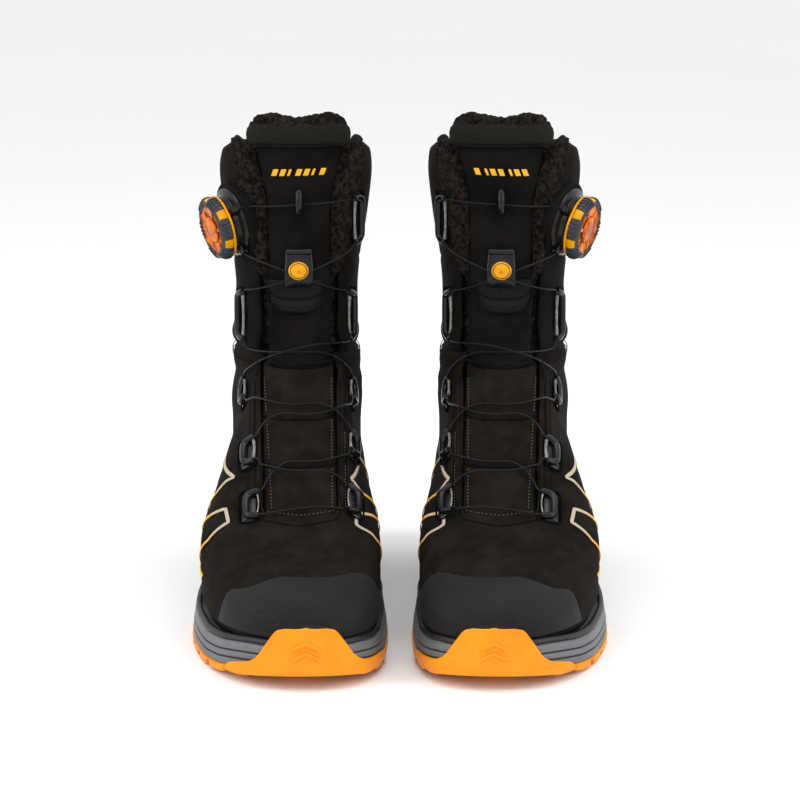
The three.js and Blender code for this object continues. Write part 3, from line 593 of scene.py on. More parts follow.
def bar(name, points, radius, sides=10):
    """A round bar through points in millimetres, its ends closed; its map runs along and round it."""
    points = np.asarray(points, float)
    points = points[np.append(True, np.linalg.norm(np.diff(points, axis=0), axis=1) > 1e-6)] if len(points) > 3 else points
    tangent = np.gradient(points, axis=0)
    tangent /= np.linalg.norm(tangent, axis=1, keepdims=True)
    normal = np.cross(tangent[0], (0.3, 0.2, 0.9))
    rings, run = [], np.linalg.norm(np.diff(points, axis=0, prepend=points[:1]), axis=1).cumsum()
    radius = np.broadcast_to(radius, len(points))
    angles = np.arange(sides) * FULL / sides
    for p, d, r in zip(points, tangent, radius):
        normal = normal - d * normal.dot(d)
        normal /= np.linalg.norm(normal)
        rings.append(p + r * (np.cos(angles)[:, None] * normal + np.sin(angles)[:, None] * np.cross(d, normal)))
    faces = grid_faces(len(points), sides, wrap=True)
    faces += [tuple(range(sides))[::-1], tuple(range((len(points) - 1) * sides, len(points) * sides))]
    uv = np.stack(np.meshgrid(angles / FULL * 3, run), -1).reshape(-1, 2)
    return make(name, np.vstack(rings), faces, uv)


def smooth_line(points, steps=8):
    """A smooth line through a few points."""
    p = np.asarray(points, float)
    p = np.vstack([2 * p[0] - p[1], p, 2 * p[-1] - p[-2]])
    out = []
    for i in range(1, len(p) - 2):
        a, b, c, d = p[i - 1:i + 3]
        for f in np.arange(steps) / steps:
            out.append(b + f * (c - a + f * (2 * a - 5 * b + 4 * c - d + f * (3 * (b - c) + d - a))) / 2)
    return np.array(out + [p[-2]])


def evenly(points, pitch):
    """Points at even steps along a line."""
    points = np.asarray(points, float)
    run = np.linalg.norm(np.diff(points, axis=0, prepend=points[:1]), axis=1).cumsum()
    count = max(2, int(run[-1] / pitch) + 1)
    where = np.linspace(0, run[-1], count)
    return np.stack([np.interp(where, run, points[:, k]) for k in range(3)], -1)


BEAD = [(-0.5, 0.0), (-0.3, 0.9), (0, 1.0), (0.3, 0.9), (0.5, 0.0)]
bead_shapes = []


def sew(t, turn, lift, pitch=2.7, length=1.9, width=0.42):
    """Stitches along a line on the last, kept until they are gathered into one piece of thread."""
    t, turn, lift = np.broadcast_arrays(np.asarray(t, float), turn, lift)
    n = outward(t, turn)
    path = evenly(last(t, turn) + n * lift[..., None], pitch)
    out = evenly(last(t, turn) + n * (lift[..., None] + 10), pitch)
    out = out[np.linspace(0, len(out) - 1, len(path)).round().astype(int)] - path
    out /= np.linalg.norm(out, axis=1, keepdims=True)
    for p, q, o in zip(path[:-1], path[1:], out):
        d = (q - p) / np.linalg.norm(q - p)
        s = np.cross(d, o)
        o = np.cross(s, d)
        middle = (p + q) / 2 + o * 0.1
        ring = [middle + d * a * length + (s * math.cos(k) + o * math.sin(k) * 0.8) * width * b
                for a, b in BEAD[1:-1] for k in np.arange(6) * FULL / 6]
        bead_shapes.append([middle - d * length / 2 - o * width / 2, *ring, middle + d * length / 2 - o * width / 2])


def gather_stitches(name):
    """One piece from all the stitches sewn since the last time."""
    points, faces = [], []
    for bead in bead_shapes:
        k = len(points)
        points += bead
        faces += grid_faces(3, 6, wrap=True, first=k + 1)
        faces += [(k, k + 1 + (j + 1) % 6, k + 1 + j) for j in range(6)]
        faces += [(k + 19, k + 13 + j, k + 13 + (j + 1) % 6) for j in range(6)]
    bead_shapes.clear()
    return make(name, points, faces)


def ridge(distance, width):
    """1 on a line and 0 away from it."""
    return np.exp(-((distance / width) ** 2))


def ramp(x, low, high):
    """0 under low and 1 over high, smoothly."""
    f = np.clip((x - low) / (high - low), 0, 1)
    return f * f * (3 - 2 * f)


def ripple(points, size, seed=0):
    """Soft random waves, about size millimetres long, from -1 to 1."""
    flat = np.asarray(points).reshape(-1, 3) / size + seed * 7.3
    return np.array([noise.noise(Vector(p)) for p in flat]).reshape(np.shape(points)[:-1])


print("tools ready")

# %% [markdown]
# ## The sole
# The outsole is moulded rubber: a thin slab with lugs standing down from it, turned up at the toe, where it also
# climbs the front of the boot as a bumper. The midsole over it is foam in bands parted by black grooves. Both are
# stacks of rings round one outline, each ring wider or narrower than the outline and at its own height.

# %% The outline and the sole's heights
OUTLINE = [(3, -2), (-21, 4), (-38, 19), (-50, 37), (-58, 62), (-63, 98), (-59, 138), (-49, 178), (-43, 220),
           (-42, 262), (-32, 292), (-2, 306), (29, 292), (39, 262), (39, 220), (41, 178), (46, 138), (50, 98),
           (48, 62), (46, 42), (39, 19), (26, 4)]
tread = line([(-20, 10), (-2, 8), (12, 5), (30, 2.2), (52, 0.4), (70, 0), (330, 0)])
rim = line([(-20, 25), (45, 25), (100, 30), (150, 33), (205, 34), (255, 37), (330, 40)])
foam_edge = line([(-20, 25), (12, 24), (30, 21), (50, 19.5), (95, 20.5), (150, 27), (205, 34), (255, 37), (330, 40)])
OUTSOLE_TOP, LUG_DEPTH = 4.2, 3.0
ARCH = (152, 198)


def sole_ring(count, grow=0.0):
    """The outline as evenly spaced points, grown outwards."""
    points = [(x, y, 0) for x, y in OUTLINE]
    loop = smooth_line([*points[-2:], *points, *points[:3]], 12)[24:-24]
    ring = evenly(loop, 0.5)[:, :2]
    run = np.linalg.norm(np.diff(ring, axis=0, prepend=ring[:1]), axis=1).cumsum()
    where = np.arange(count) * run[-1] / count
    ring = np.stack([np.interp(where, run, ring[:, k]) for k in (0, 1)], -1)
    d = np.roll(ring, -1, 0) - np.roll(ring, 1, 0)
    d /= np.linalg.norm(d, axis=1, keepdims=True)
    out = np.stack([-d[:, 1], d[:, 0]], -1)
    out *= np.sign((out * (ring - ring.mean(0))).sum())
    return ring + out * np.reshape(grow, (-1, 1))


def ring_stack(name, rows, count=220, caps=True):
    """Rings joined one above the other: each row is how far it is grown and its heights, a function of the ring."""
    rings = []
    for grow, height in rows:
        ring = sole_ring(count, grow)
        rings.append(np.column_stack([ring, np.broadcast_to(height(ring), count)]))
    faces = grid_faces(len(rings), count, wrap=True)
    if caps:
        faces += [tuple(range(count))[::-1], tuple(range((len(rings) - 1) * count, len(rings) * count))]
    run = np.linalg.norm(np.diff(rings[0], axis=0, prepend=rings[0][:1]), axis=1).cumsum()
    uv = [(u, r[2]) for ring in rings for u, r in zip(run, ring)]
    return make(name, np.vstack(rings), faces, uv)


# %% Midsole: three foam bands with black grooves, and the black rand over them
BANDS = [(0.0, -1.0), (0.03, 0.2), (0.22, 0.5), (0.27, 0.2), (0.285, -1.0), (0.325, -1.0), (0.34, -0.1), (0.36, 0.1),
         (0.52, 0.0), (0.56, -0.3), (0.575, -1.5), (0.615, -1.5), (0.63, -0.6), (0.65, -0.4), (0.86, -1.0),
         (0.93, -1.5), (0.97, -2.6), (1.0, -5.0)]


def midsole_height(share):
    def height(ring):
        low = tread(ring[:, 1]) + OUTSOLE_TOP + 0.15
        return low + (foam_edge(ring[:, 1]) - low) * share
    return height


midsole = ring_stack("midsole_foam", [(grow, midsole_height(share)) for share, grow in BANDS])
for face in midsole.data.polygons:
    row = face.index // 220
    face.material_index = 1 if row in (4, 5, 10, 11) else 0
tidy(midsole, 50)
midsole.data.materials.append(foam.material)
midsole.data.materials.append(rand.material)
stand(midsole, "boot", "midsole_foam", "midsole")

rand_rows = [(-3.4, 0.6), (-1.9, -0.2), (-1.5, 1.0), (-1.7, 2.2), (-2.6, 2.9), (-4.6, 3.2)]
rand_strip = ring_stack("black_rand", [(grow, lambda ring, z=z: foam_edge(ring[:, 1]) + z) for grow, z in rand_rows],
                        caps=False)
apply(rand_strip, "SOLIDIFY", thickness=0.0012, offset=-1)
stand(rand_strip, "boot", "guard_rubber", look=rand)

# %% [markdown]
# ### Lugs
# The lugs are modelled once each, a block with its edges bevelled, then copied along the sole and cut to
# the outline. The rows stop at the arch, where a climber's boot bridges a rung.

# %% Outsole slab and lugs
slab = ring_stack("outsole_slab", [(-1.5, lambda r: tread(r[:, 1]) + LUG_DEPTH - 0.3),
                                   (0.1, lambda r: tread(r[:, 1]) + LUG_DEPTH),
                                   (0.9, lambda r: tread(r[:, 1]) + LUG_DEPTH + 0.4),
                                   (0.9, lambda r: tread(r[:, 1]) + OUTSOLE_TOP - 0.4),
                                   (0.2, lambda r: tread(r[:, 1]) + OUTSOLE_TOP)])
tidy(slab, 40)
slab.data.transform(Matrix.Identity(4))

prism = ring_stack("lug_field", [(0.7, lambda r: tread(r[:, 1]) + 0.02), (0.7, lambda r: tread(r[:, 1]) + LUG_DEPTH + 0.5)])
blocks = []
for row in range(16):
    y = 6 + row * 19
    if ARCH[0] - 4 < y < ARCH[1] - 4:
        continue
    for x, wide, lean in ((-42, 50, -0.16), (0, 20, 0), (42, 50, 0.16)):
        bpy.ops.mesh.primitive_cube_add(size=1)
        block = bpy.context.object
        long = 13.6 if x else 9
        block.data.transform(Matrix.Translation((x * 0.001, (y + (7 if x else 16)) * 0.001, 0.005))
                             @ Matrix.Rotation(lean, 4, "Z") @ Matrix.Diagonal((wide / 1000, long / 1000, 0.03, 1)))
        blocks.append(block)
field = join(*blocks)
field.name = "lug_blocks"
cut = prism.modifiers.new("cut", "BOOLEAN")
cut.operation, cut.object, cut.solver = "INTERSECT", field, "EXACT"
only(prism)
bpy.ops.object.modifier_apply(modifier="cut")
bpy.data.objects.remove(field)
apply(prism, "BEVEL", width=0.0007, segments=2, limit_method="ANGLE", angle_limit=math.radians(40))
prism.name = "outsole_lugs"
tidy(prism, 40)
stand(prism, "boot", "outsole_rubber", look=gum)
stand(slab, "boot", "outsole_rubber", "outsole", look=gum)

# %% [markdown]
# ### Toe bumper
# The rubber climbs the toe as a bumper with a waisted outline. It is a sheet bent round the front of the outline
# and given a wall, with a plain double chevron standing out of it.

# %% Bumper and its chevrons
half_bumper = line([(3.5, 45), (8, 44), (10.5, 41), (12, 36.5), (13.6, 31), (16, 27.6), (19, 25), (24.3, 21.9), (29.2, 18.8),
                    (31.6, 17.2), (33.2, 15.8), (34.1, 14.2), (34.5, 12)])
front_half = sole_ring(900)
front_half = front_half[front_half[:, 1] < 60]
front_half = front_half[np.argsort(front_half[:, 0])]


def bumper_point(x, z, out=0.0):
    """A point on the bumper's face."""
    y = np.interp(x, front_half[:, 0], front_half[:, 1])
    slope = (np.interp(x + 1, front_half[:, 0], front_half[:, 1]) - np.interp(x - 1, front_half[:, 0], front_half[:, 1])) / 2
    n = np.stack([slope, -np.ones_like(slope), np.zeros_like(slope)], -1)
    n /= np.linalg.norm(n, axis=-1, keepdims=True)
    grow = 2.3 - 1.6 * ramp(z, 20, 35) ** 1.5 - 0.6 * ramp(-z, -12, -4) + out
    return np.stack([x, y, z + 0 * x], -1) + n * np.reshape(grow, (*x.shape, 1)), n


rows, cols = 44, 72
z = (5 + 29.5 * np.linspace(0, 1, rows) ** 0.8)[:, None] + np.zeros((1, cols))
x = 3 + np.linspace(-1, 1, cols)[None] * half_bumper(z)
z = np.maximum(z, tread(np.interp(x, front_half[:, 0], front_half[:, 1])) + 0.6)
face_points, face_out = bumper_point(x, z)
bumper = thicken("toe_bumper", face_points.reshape(-1, 3), face_out.reshape(-1, 3), grid_faces(rows, cols), 3.0,
                 lengths(face_points))
chevrons = []
for z0 in (17.5, 23.0):
    arm = np.linspace(-1, 1, 25)
    path, _ = bumper_point(3 + arm * 7.5, z0 + 4.2 * (1 - np.abs(arm)), 0.1)
    chevrons.append(bar("chevron", path, 1.15 * np.clip((1.02 - np.abs(arm)) * 6, 0.2, 1)))
join(bumper, *chevrons)
stand(bumper, "boot", "outsole_rubber", look=gum)
print("sole is", round(max(p[1] for p in OUTLINE) - min(p[1] for p in OUTLINE)), "mm long")

# %% [markdown]
# ## The leather foot
# One nubuck panel wraps the forefoot as a tube and carries on round the heel as a strip that stays open down the
# front, where the tongue sits. It creases under the cuff and has soft waves where it flexes.

# %% Foot upper
SPLIT, SEAM = 5.15, 152
THROAT = (line([(70, 22.6), (96, 23.4), (118, 25.4), (140, 26), (149, 24), (310, 22)]),
          line([(70, 23.2), (138, 23.4), (149, 22), (310, 22)]))


def strip(low, high, half, rows, cols):
    """A grid round the back of the last, between rows low and high, from one throat edge to the other."""
    share = np.linspace(0, 1, cols)[None] + np.zeros((rows, 1))
    r = np.linspace(0, 1, rows)[:, None] + np.zeros((1, cols))
    turn = RIGHT_ANGLE + share * FULL
    for _ in range(5):
        a = low(turn) if callable(low) else low
        b = high(turn) if callable(high) else high
        t = a + r * (b - a)
        first = front_edge(t, half, -1)
        last_turn = front_edge(t, half, 1) + FULL
        turn = first + share * (last_turn - first)
    return t, turn


def at_height(height):
    """Where the last reaches a height, for each turn; the height may depend on y."""
    def find(turn):
        def over(t):
            p = last(t, turn)
            return p[..., 2] - (height(p[..., 1]) if callable(height) else height)
        return solve(over, 0.5, 19.99, np.shape(turn))
    return find


def bulge(p):
    """How far the quarter swells over the ankle bones at its sides."""
    x, y, z = np.abs(p[..., 0]), p[..., 1], p[..., 2]
    return 4.2 * ramp(x, 33.5, 41) * ramp(z, 36, 66) * ramp(-z, -138, -110) * ramp(y, 66, 104)


def leather_lift(t, turn):
    """The leather's waves, its swell and its crease under the cuff."""
    p = last(t, turn)
    y, z = p[..., 1], p[..., 2]
    waves = 0.55 * ripple(p, 26, 1) + 0.22 * ripple(p, 9, 2)
    flex = 0.7 * ridge(y - 92, 6) * ridge(z - 60, 26) * ripple(p * (0.25, 1, 1), 9, 3)
    under_cuff = 1.5 * ridge(z - 142, 6) - 1.6 * ridge(z - SEAM, 2.6)
    rolls = 0.9 * ridge(z - 127, 4) * np.clip(ripple(p, 30, 4) + 0.2, 0, 1)
    return waves * ramp(z, 26, 40) + flex + under_cuff + rolls + bulge(p)


ring_t = np.linspace(-0.97, SPLIT, 92)[:, None]
ring_turn = (RIGHT_ANGLE + np.arange(180) * FULL / 180)[None]
forefoot = panel("forefoot_leather", ring_t, ring_turn, leather_lift(*np.broadcast_arrays(ring_t, ring_turn)), 2.4, wrap=True)

t, turn = strip(SPLIT, at_height(SEAM), THROAT, 84, 190)
quarter = panel("quarter_leather", t, turn, leather_lift(t, turn), 2.4)
stand(forefoot, "boot", "nubuck", "foot_upper", look=nubuck)
stand(quarter, "boot", "nubuck", look=nubuck)

# %% [markdown]
# ### Toe guard and heel counter
# Thin textured rubber is stretched over the toe box and vulcanised on. Its top edge dips to the sides. The grid's
# rows are drawn from the nose up onto the edge line, so that the edge is smooth.

# %% Toe guard
guard_edge = line([(-50, 22), (-46, 29), (-44.5, 36), (-43, 41), (-41, 45), (-38.5, 47.4), (-35, 48.6), (-31, 49.4), (-24, 52),
                   (-17, 54.4), (-9, 55.6), (2, 55.4), (20, 55), (29, 54.6), (34, 53.4), (38, 51), (41.5, 47), (44, 41.5),
                   (46, 35), (48.5, 26)])


def guard_top(turn):
    """The last row of the guard at each turn: the edge is a line seen from the front."""
    def over(t):
        p = last(t, turn)
        return p[..., 2] - guard_edge(p[..., 0])
    return np.clip(solve(over, 0.4, 6.5, np.shape(turn)), 0.6, 6)


share = np.linspace(0, 1, 150)[None]
turn = RIGHT_ANGLE - 1.78 + share * 3.56 + np.zeros((70, 1))
t = -0.97 + np.linspace(0, 1, 70)[:, None] * (guard_top(turn[0])[None] + 0.97)
p = last(t, turn)
guard_lift = 1.1 + 0.35 * ripple(p, 24, 1) - 0.4 * ramp(np.linspace(0, 1, 70)[:, None], 0.93, 1)
toe_guard = panel("toe_guard_rubber", t, turn, guard_lift, 1.6)
stand(toe_guard, "boot", "guard_rubber", "toe_guard", look=guard)

# %% Heel counter
counter_share = np.linspace(0, 1, 120)[None]
counter_turn = math.radians(270) - 1.25 + counter_share * 2.5 + np.zeros((46, 1))
counter_low = at_height(30)(counter_turn[0])
counter_high = at_height(88)(counter_turn[0])
dip = 0.75 + 0.25 * np.cos((counter_share - 0.5) * 2 * 1.35)
counter_t = counter_low + np.linspace(0, 1, 46)[:, None] * (counter_high - counter_low) * dip
heel_counter = panel("heel_counter_rubber", counter_t, counter_turn,
                     1.0 + 0.3 * ripple(last(counter_t, counter_turn), 24, 5) + bulge(last(counter_t, counter_turn)), 1.6)
stand(heel_counter, "boot", "guard_rubber", "heel_counter", look=guard)

# %% [markdown]
# ## The cuff and its lining
# The cuff is soft shell over foam, so it stands out over the seam, dents where it flexes and rolls in at the top.
# The pile inside comes round both front edges and shows beside the tongue. Both are padded pieces.

# %% Cuff
cuff_half = line([(140, 24), (199, 24.5), (212, 28), (234, 33), (255, 36.8), (275, 39.8), (287, 41.6), (302, 42)])
collar = line([(150, 275), (212, 275.5), (222, 277.5), (236, 276), (262, 269), (290, 263), (340, 263)])


def cuff_lift(t, turn):
    p = last(t, turn)
    x, y, z = p[..., 0], p[..., 1], p[..., 2]
    lobes = 1.3 * ridge(np.abs(x) - 29.5, 4.2) * ramp(z, 154, 166) * ramp(-z, -202, -186) * ramp(-y, -215, -190)
    overhang = 2.2 * ridge(z - 159, 6.5) - 1.6 * ridge(z - SEAM, 2.2)
    flexes = 1.1 * ridge(z - 178, 7) * ripple(p * (1, 1, 0.4), 34, 6)
    waves = 0.8 * ripple(p, 38, 7) + 0.25 * ripple(p, 13, 8)
    band = -0.7 * ridge(z - 205, 1.6) * ramp(y, 214, 232)
    roll = -3.2 * ramp(z, collar(y) - 6, collar(y) + 0.5) ** 2
    return overhang + lobes + flexes + waves + band + roll


t, turn = strip(at_height(SEAM), at_height(collar), cuff_half, 104, 220)
cuff = panel("cuff_soft_shell", t, turn, cuff_lift(t, turn), 2.8)
stand(cuff, "boot", "soft_shell", "cuff", look=soft_shell, padded=0.5)


# %% Pile lining
def fleece(name, t, turn, lift, wall, depth=2.5):
    """Curled pile: a fine panel lifted into tufts."""
    p = last(t, turn)
    tufts = 0.65 * ripple(p, 5.2, 9) + 0.5 * ripple(p, 2.6, 10)
    return panel(name, t, turn, lift + depth * tufts, wall)


pile_half = line([(70, 22), (140, 20.6), (232, 21), (248, 21.5), (262, 25), (275, 28), (284, 31), (302, 32)])
t, turn = strip(SPLIT + 0.1, at_height(lambda y: collar(y) + 3.2 + 2.6 * ramp(-y, -232, -214)), pile_half, 190, 380)
p = last(t, turn)
x, z = p[..., 0], p[..., 2]
beside_tongue = ramp(-np.abs(x), -cuff_half(z) - 2, -cuff_half(z) + 1) * ramp(-p[..., 1], -215, -208)
over_top = ramp(z, collar(p[..., 1]) - 3, collar(p[..., 1]) + 1)
edge_drop = 1.5 * ramp(-np.abs(x), -pile_half(z) - 2.5, -pile_half(z))
lift = -4.4 + beside_tongue * ramp(z, 194, 206) * (5.4 - edge_drop)
lining = fleece("pile_lining", t, turn, lift, 3.0)
stand(lining, "boot", "pile", "pile_lining", look=pile, padded=0.4)

# %% Footbed, and the hidden boards, which keep the frame's solids
bed = ring_stack("footbed", [(-9.5, lambda r: rim(r[:, 1]) - 9), (-8, lambda r: rim(r[:, 1]) - 6.5),
                             (-8, lambda r: rim(r[:, 1]) - 3.4), (-10.5, lambda r: rim(r[:, 1]) - 2)], 160)
tidy(bed, 40)
stand(bed, "boot", "footbed_foam", "insole", look=felt)

# %% [markdown]
# ## The tongue
# Three nubuck pads cover the instep, with grooves between them where the cable pulls in. Above the flex line the
# tongue is soft shell with a knitted band and a rolled pile edge. It hinges at the flex line, so it is parted
# from the pads there.

# %% Tongue pads on the instep
TONGUE_HINGE = 148


def tongue_grid(low, high, half, rows, cols):
    """A grid on the front of the last between two heights."""
    across_it = np.linspace(-1, 1, cols)[None] + np.zeros((rows, 1))
    r = np.linspace(0, 1, rows)[:, None] + np.zeros((1, cols))
    turn = np.full((rows, cols), RIGHT_ANGLE)
    for _ in range(5):
        a, b = at_height(low)(turn), at_height(high)(turn)
        t = a + r * (b - a)
        lateral, medial = front_edge(t, half, -1), front_edge(t, half, 1)
        turn = (lateral + medial) / 2 + across_it * (medial - lateral) / 2
    return t, turn, across_it, r


pads = []
PAD_HALF = (line([(78, 20.6), (98, 21.6), (120, 23.6), (147, 24.2)]), line([(78, 21.6), (147, 21.8)]))
for low, high in ((76.5, 98.8), (99.6, 121.4), (122.2, 147.6)):
    t, turn, a, r = tongue_grid(low, high, PAD_HALF, 34, 60)
    pillow = (1 - np.abs(a) ** 6) ** 0.5 * (1 - np.abs(2 * r - 1) ** 5) ** 0.5
    p = last(t, turn)
    seams = 0.5 * ridge(p[..., 2] - 142.5, 0.8) * (np.abs(p[..., 0]) < 20)
    lift = -2.2 + 2.6 * pillow + 0.45 * ripple(p, 18, 11) + 0.2 * ripple(p, 6, 12) - seams
    pads.append(panel("pad", t, turn, lift, 4.5))
pads = join(*pads)
pads.name = "instep_pads"
stand(pads, "boot", "nubuck", "tongue_vamp", look=nubuck, padded=0.7)

t, turn, a, r = tongue_grid(77, 150, (line([(60, 23.5), (118, 26), (150, 26)]), line([(60, 23.5), (160, 22.5)])), 60, 50)
gusset = panel("tongue_gusset", t, turn, -4.6 + 0 * t, 2.0)
stand(gusset, "boot", "soft_shell", look=soft_shell)

# %% Tongue shaft, knitted band and pile edge
tongue_half = line([(140, 20), (232, 20), (248, 20.6), (262, 24), (275, 28), (284, 31), (300, 31)])
t, turn, a, r = tongue_grid(TONGUE_HINGE + 0.4, 281, tongue_half, 120, 60)
p = last(t, turn)
x, z = p[..., 0], p[..., 2]
side_rolls = 1.6 * ridge(np.abs(x) - 17.6, 2.2) * ramp(z, 149, 154) * ramp(-z, -206, -196)
crown = 1.4 * (1 - a ** 2) - 1.2 * np.abs(a) ** 8
lift = -1.4 + crown + side_rolls + 0.4 * ripple(p, 26, 13) - 0.8 * ridge(z - 180, 3) * ramp(-np.abs(x), -16, -13)
shaft = panel("tongue_soft_shell", t, turn, lift, 4.0)
stand(shaft, "tongue", "soft_shell", "tongue_shaft", look=soft_shell, padded=0.6)

BAND_LOW, BAND_HIGH = 279.5, 292.5
t, turn, a, r = tongue_grid(BAND_LOW, BAND_HIGH, line([(270, 31.6), (281, 31.9), (286, 32.2), (289, 31.4), (291.5, 29.2), (293, 26)]), 36, 90)
p = last(t, turn)
lift = -0.6 + 2.0 * np.sin(r * math.pi) ** 0.6 * (1 - np.abs(a) ** 8) + 0.15 * ripple(p, 8, 14)
knit_band = panel("knitted_band", t, turn, lift, 6.0)
stand(knit_band, "tongue", "knit", "tongue_top_band", look=knit, padded=0.7)

t, turn, a, r = tongue_grid(TONGUE_HINGE + 3, 292, line([(140, 19), (248, 20), (275, 27), (284, 30), (300, 30)]), 150, 70)
back_pile = fleece("tongue_pile", t, turn, -5.6 + 0 * t, 2.2)
stand(back_pile, "tongue", "pile", look=pile)

# the rolled edge: a thick bar of pile over the band, with two low humps
arc = np.linspace(-1, 1, 150)
hump = 2.6 * ridge(np.abs(arc) - 0.6, 0.3)
base = last(np.full(150, 19.6), RIGHT_ANGLE - np.arcsin(arc * 0.70) * 1.0)
rise = np.interp(np.abs(arc), [0, 0.85, 1], [291.8, 291.6, 287.0])
roll_path = np.column_stack([arc * 28, base[:, 1] + 5.2, rise + hump])
roll = bar("pile_roll", roll_path, 4.6 - 2.2 * np.abs(arc) ** 6, 46)
co = np.array([v.co for v in roll.data.vertices]) * 1000
out = co - np.repeat(roll_path, 46, 0)
out /= np.maximum(np.linalg.norm(out, axis=1, keepdims=True), 1e-6)
co += out * (1.0 * ripple(co, 4.4, 15) + 0.9 * ripple(co, 2.2, 16))[:, None]
roll.data.vertices.foreach_set("co", (co / 1000).astype(np.float32).ravel())
stand(roll, "tongue", "pile", look=pile)

# %% [markdown]
# ### Loop, tab and patch
# The cable runs behind a glossy loop high on the tongue and behind a folded tab lower down. Small straps like
# these are modelled directly, as bars and thin panels.

# %% Where things sit on the front of the boot
def front_point(x, z, lift=0.0):
    """The point on the front of the last at x and z, with the direction out."""
    x, z = np.broadcast_arrays(np.asarray(x, float), np.asarray(z, float))
    turn = np.full(x.shape, RIGHT_ANGLE)
    for _ in range(6):
        t = at_height(z)(turn)
        side = np.where(x < 0, -1.0, 1.0)

        def over(away, t=t, side=side):
            return side * last(t, RIGHT_ANGLE - side * away)[..., 0] - side * x
        turn = RIGHT_ANGLE - side * solve(over, 0, RIGHT_ANGLE, x.shape)
    n = outward(t, turn)
    return last(t, turn) + n * np.reshape(lift, np.shape(lift) + (1,) * (n.ndim - np.ndim(lift))), n


def sheet_on(name, x, z, lift, wall):
    """A thin panel that lies on the front of the last: x and z are grids."""
    x, z, lift = np.broadcast_arrays(x, z, lift)
    base, n = front_point(x, z)
    grid = base + n * lift[..., None]
    return thicken(name, grid.reshape(-1, 3), n.reshape(-1, 3), grid_faces(*grid.shape[:2]), wall, lengths(grid))


# %% Loop, tab, disc and patch
s = np.linspace(0, 1, 15)
loop_path, n = front_point(0 * s, 239.5 + 13 * s)
loop_path = loop_path + n * (0.6 + 3.6 * np.sin(s * math.pi) ** 0.6)[:, None]
loop = bar("tongue_loop", smooth_line(loop_path, 3), 2.3, 16)
stand(loop, "tongue", "black_plastic", "tongue_loop", look=gloss)

u, v = np.linspace(-1, 1, 24)[None], np.linspace(0, 1, 40)[:, None]
tab_lift = 1.0 + 4.2 * np.sin(np.clip(v * 1.12, 0, 1) ** 0.85 * math.pi * 0.86) ** 0.7 * (1 - 0.12 * np.abs(u) ** 3)
tab = sheet_on("tongue_tab", u * (7.7 - 0.4 * v) - 0.3, 194 + 22 * v + 0 * u, tab_lift, 1.1)
fold_path, _ = front_point(np.linspace(-7.4, 6.8, 25), 215.6, 2.4)
fold = bar("tab_fold", fold_path, 2.0, 16)
join(tab, fold)
stand(tab, "tongue", "black_plastic", "tongue_tab", look=gloss)

angles = np.linspace(0, FULL, 49)
radius = np.array([0.02, 0.5, 0.86, 0.97, 1.0])[:, None] * 5.3
disc_lift = np.interp(204.3 + radius * np.sin(angles)[None], 194 + 22 * v[:, 0], tab_lift[:, 12]) \
    + np.array([0.75, 0.75, 0.75, 0.62, 0.3])[:, None]
disc = sheet_on("tab_disc", -0.5 + radius * np.cos(angles)[None], 204.3 + radius * np.sin(angles)[None], disc_lift, 0.6)
stand(disc, "tongue", "dial_plastic", look=yolk)
ring_lift = np.interp(204.3 + 4.5 * np.sin(angles), 194 + 22 * v[:, 0], tab_lift[:, 12]) + 0.75
ring_path, n = front_point(-0.5 + 4.5 * np.cos(angles), 204.3 + 4.5 * np.sin(angles))
disc_ring = bar("disc_ring", ring_path + n * ring_lift[:, None], 0.22, 6)
stand(disc_ring, "tongue", "black_plastic", look=gloss)

PATCH_X = -2.4
wide = line([(179.5, 5), (180.5, 9.5), (182.5, 13), (185.5, 15.4), (189, 16.2), (200, 15.6)])
v = np.linspace(0, 1, 34)[:, None]
u = np.linspace(-1, 1, 44)[None]
zz = 179.8 + 18.2 * v + 0 * u
pocket = 0.8 * ramp(-np.abs(u), -0.97, -0.8) - 1.1 * ridge(zz - 193.5, 1.4) * ramp(-np.abs(u), -0.6, -0.45)
flap_low = 188 + 5 * np.abs(u) ** 4
patch = sheet_on("tongue_patch", u * wide(zz) + PATCH_X, zz, 0.7 + pocket + 0.9 * ramp(zz - flap_low, -0.6, 0.6), 2.2)
stand(patch, "tongue", "nubuck", "tongue_tab_patch", look=felt)
z_down = np.linspace(198, 180.2, 24)
rim_x = np.concatenate([-wide(z_down), [0], wide(z_down[::-1])]) + PATCH_X
edge, n = front_point(rim_x, np.concatenate([z_down, [179.6], z_down[::-1]]))
patch_piping = bar("patch_piping", smooth_line(edge + n * 0.9, 3), 0.85)
arc_x = np.linspace(-1, 1, 41)
edge, n = front_point(arc_x * 15.9 + PATCH_X, 188 + 5 * np.abs(arc_x) ** 4)
flap_piping = bar("flap_piping", edge + n * 1.6, 0.8)
patch_piping = join(patch_piping, flap_piping)
stand(patch_piping, "tongue", "nubuck", look=soft_shell)
v, u = np.linspace(0, 1, 14)[:, None], np.linspace(-1, 1, 40)[None]
low_edge, high_edge = 181.2 + 6 * np.abs(u) ** 4, 187.2 + 4.5 * np.abs(u) ** 4
mesh_z = low_edge + (high_edge - low_edge) * v
mesh_inset = sheet_on("patch_mesh", u * 14.2 + PATCH_X, mesh_z, 1.15 + 0.5 * np.sin(v * math.pi) + 0 * u, 0.8)
stand(mesh_inset, "tongue", "knit", look=knit)

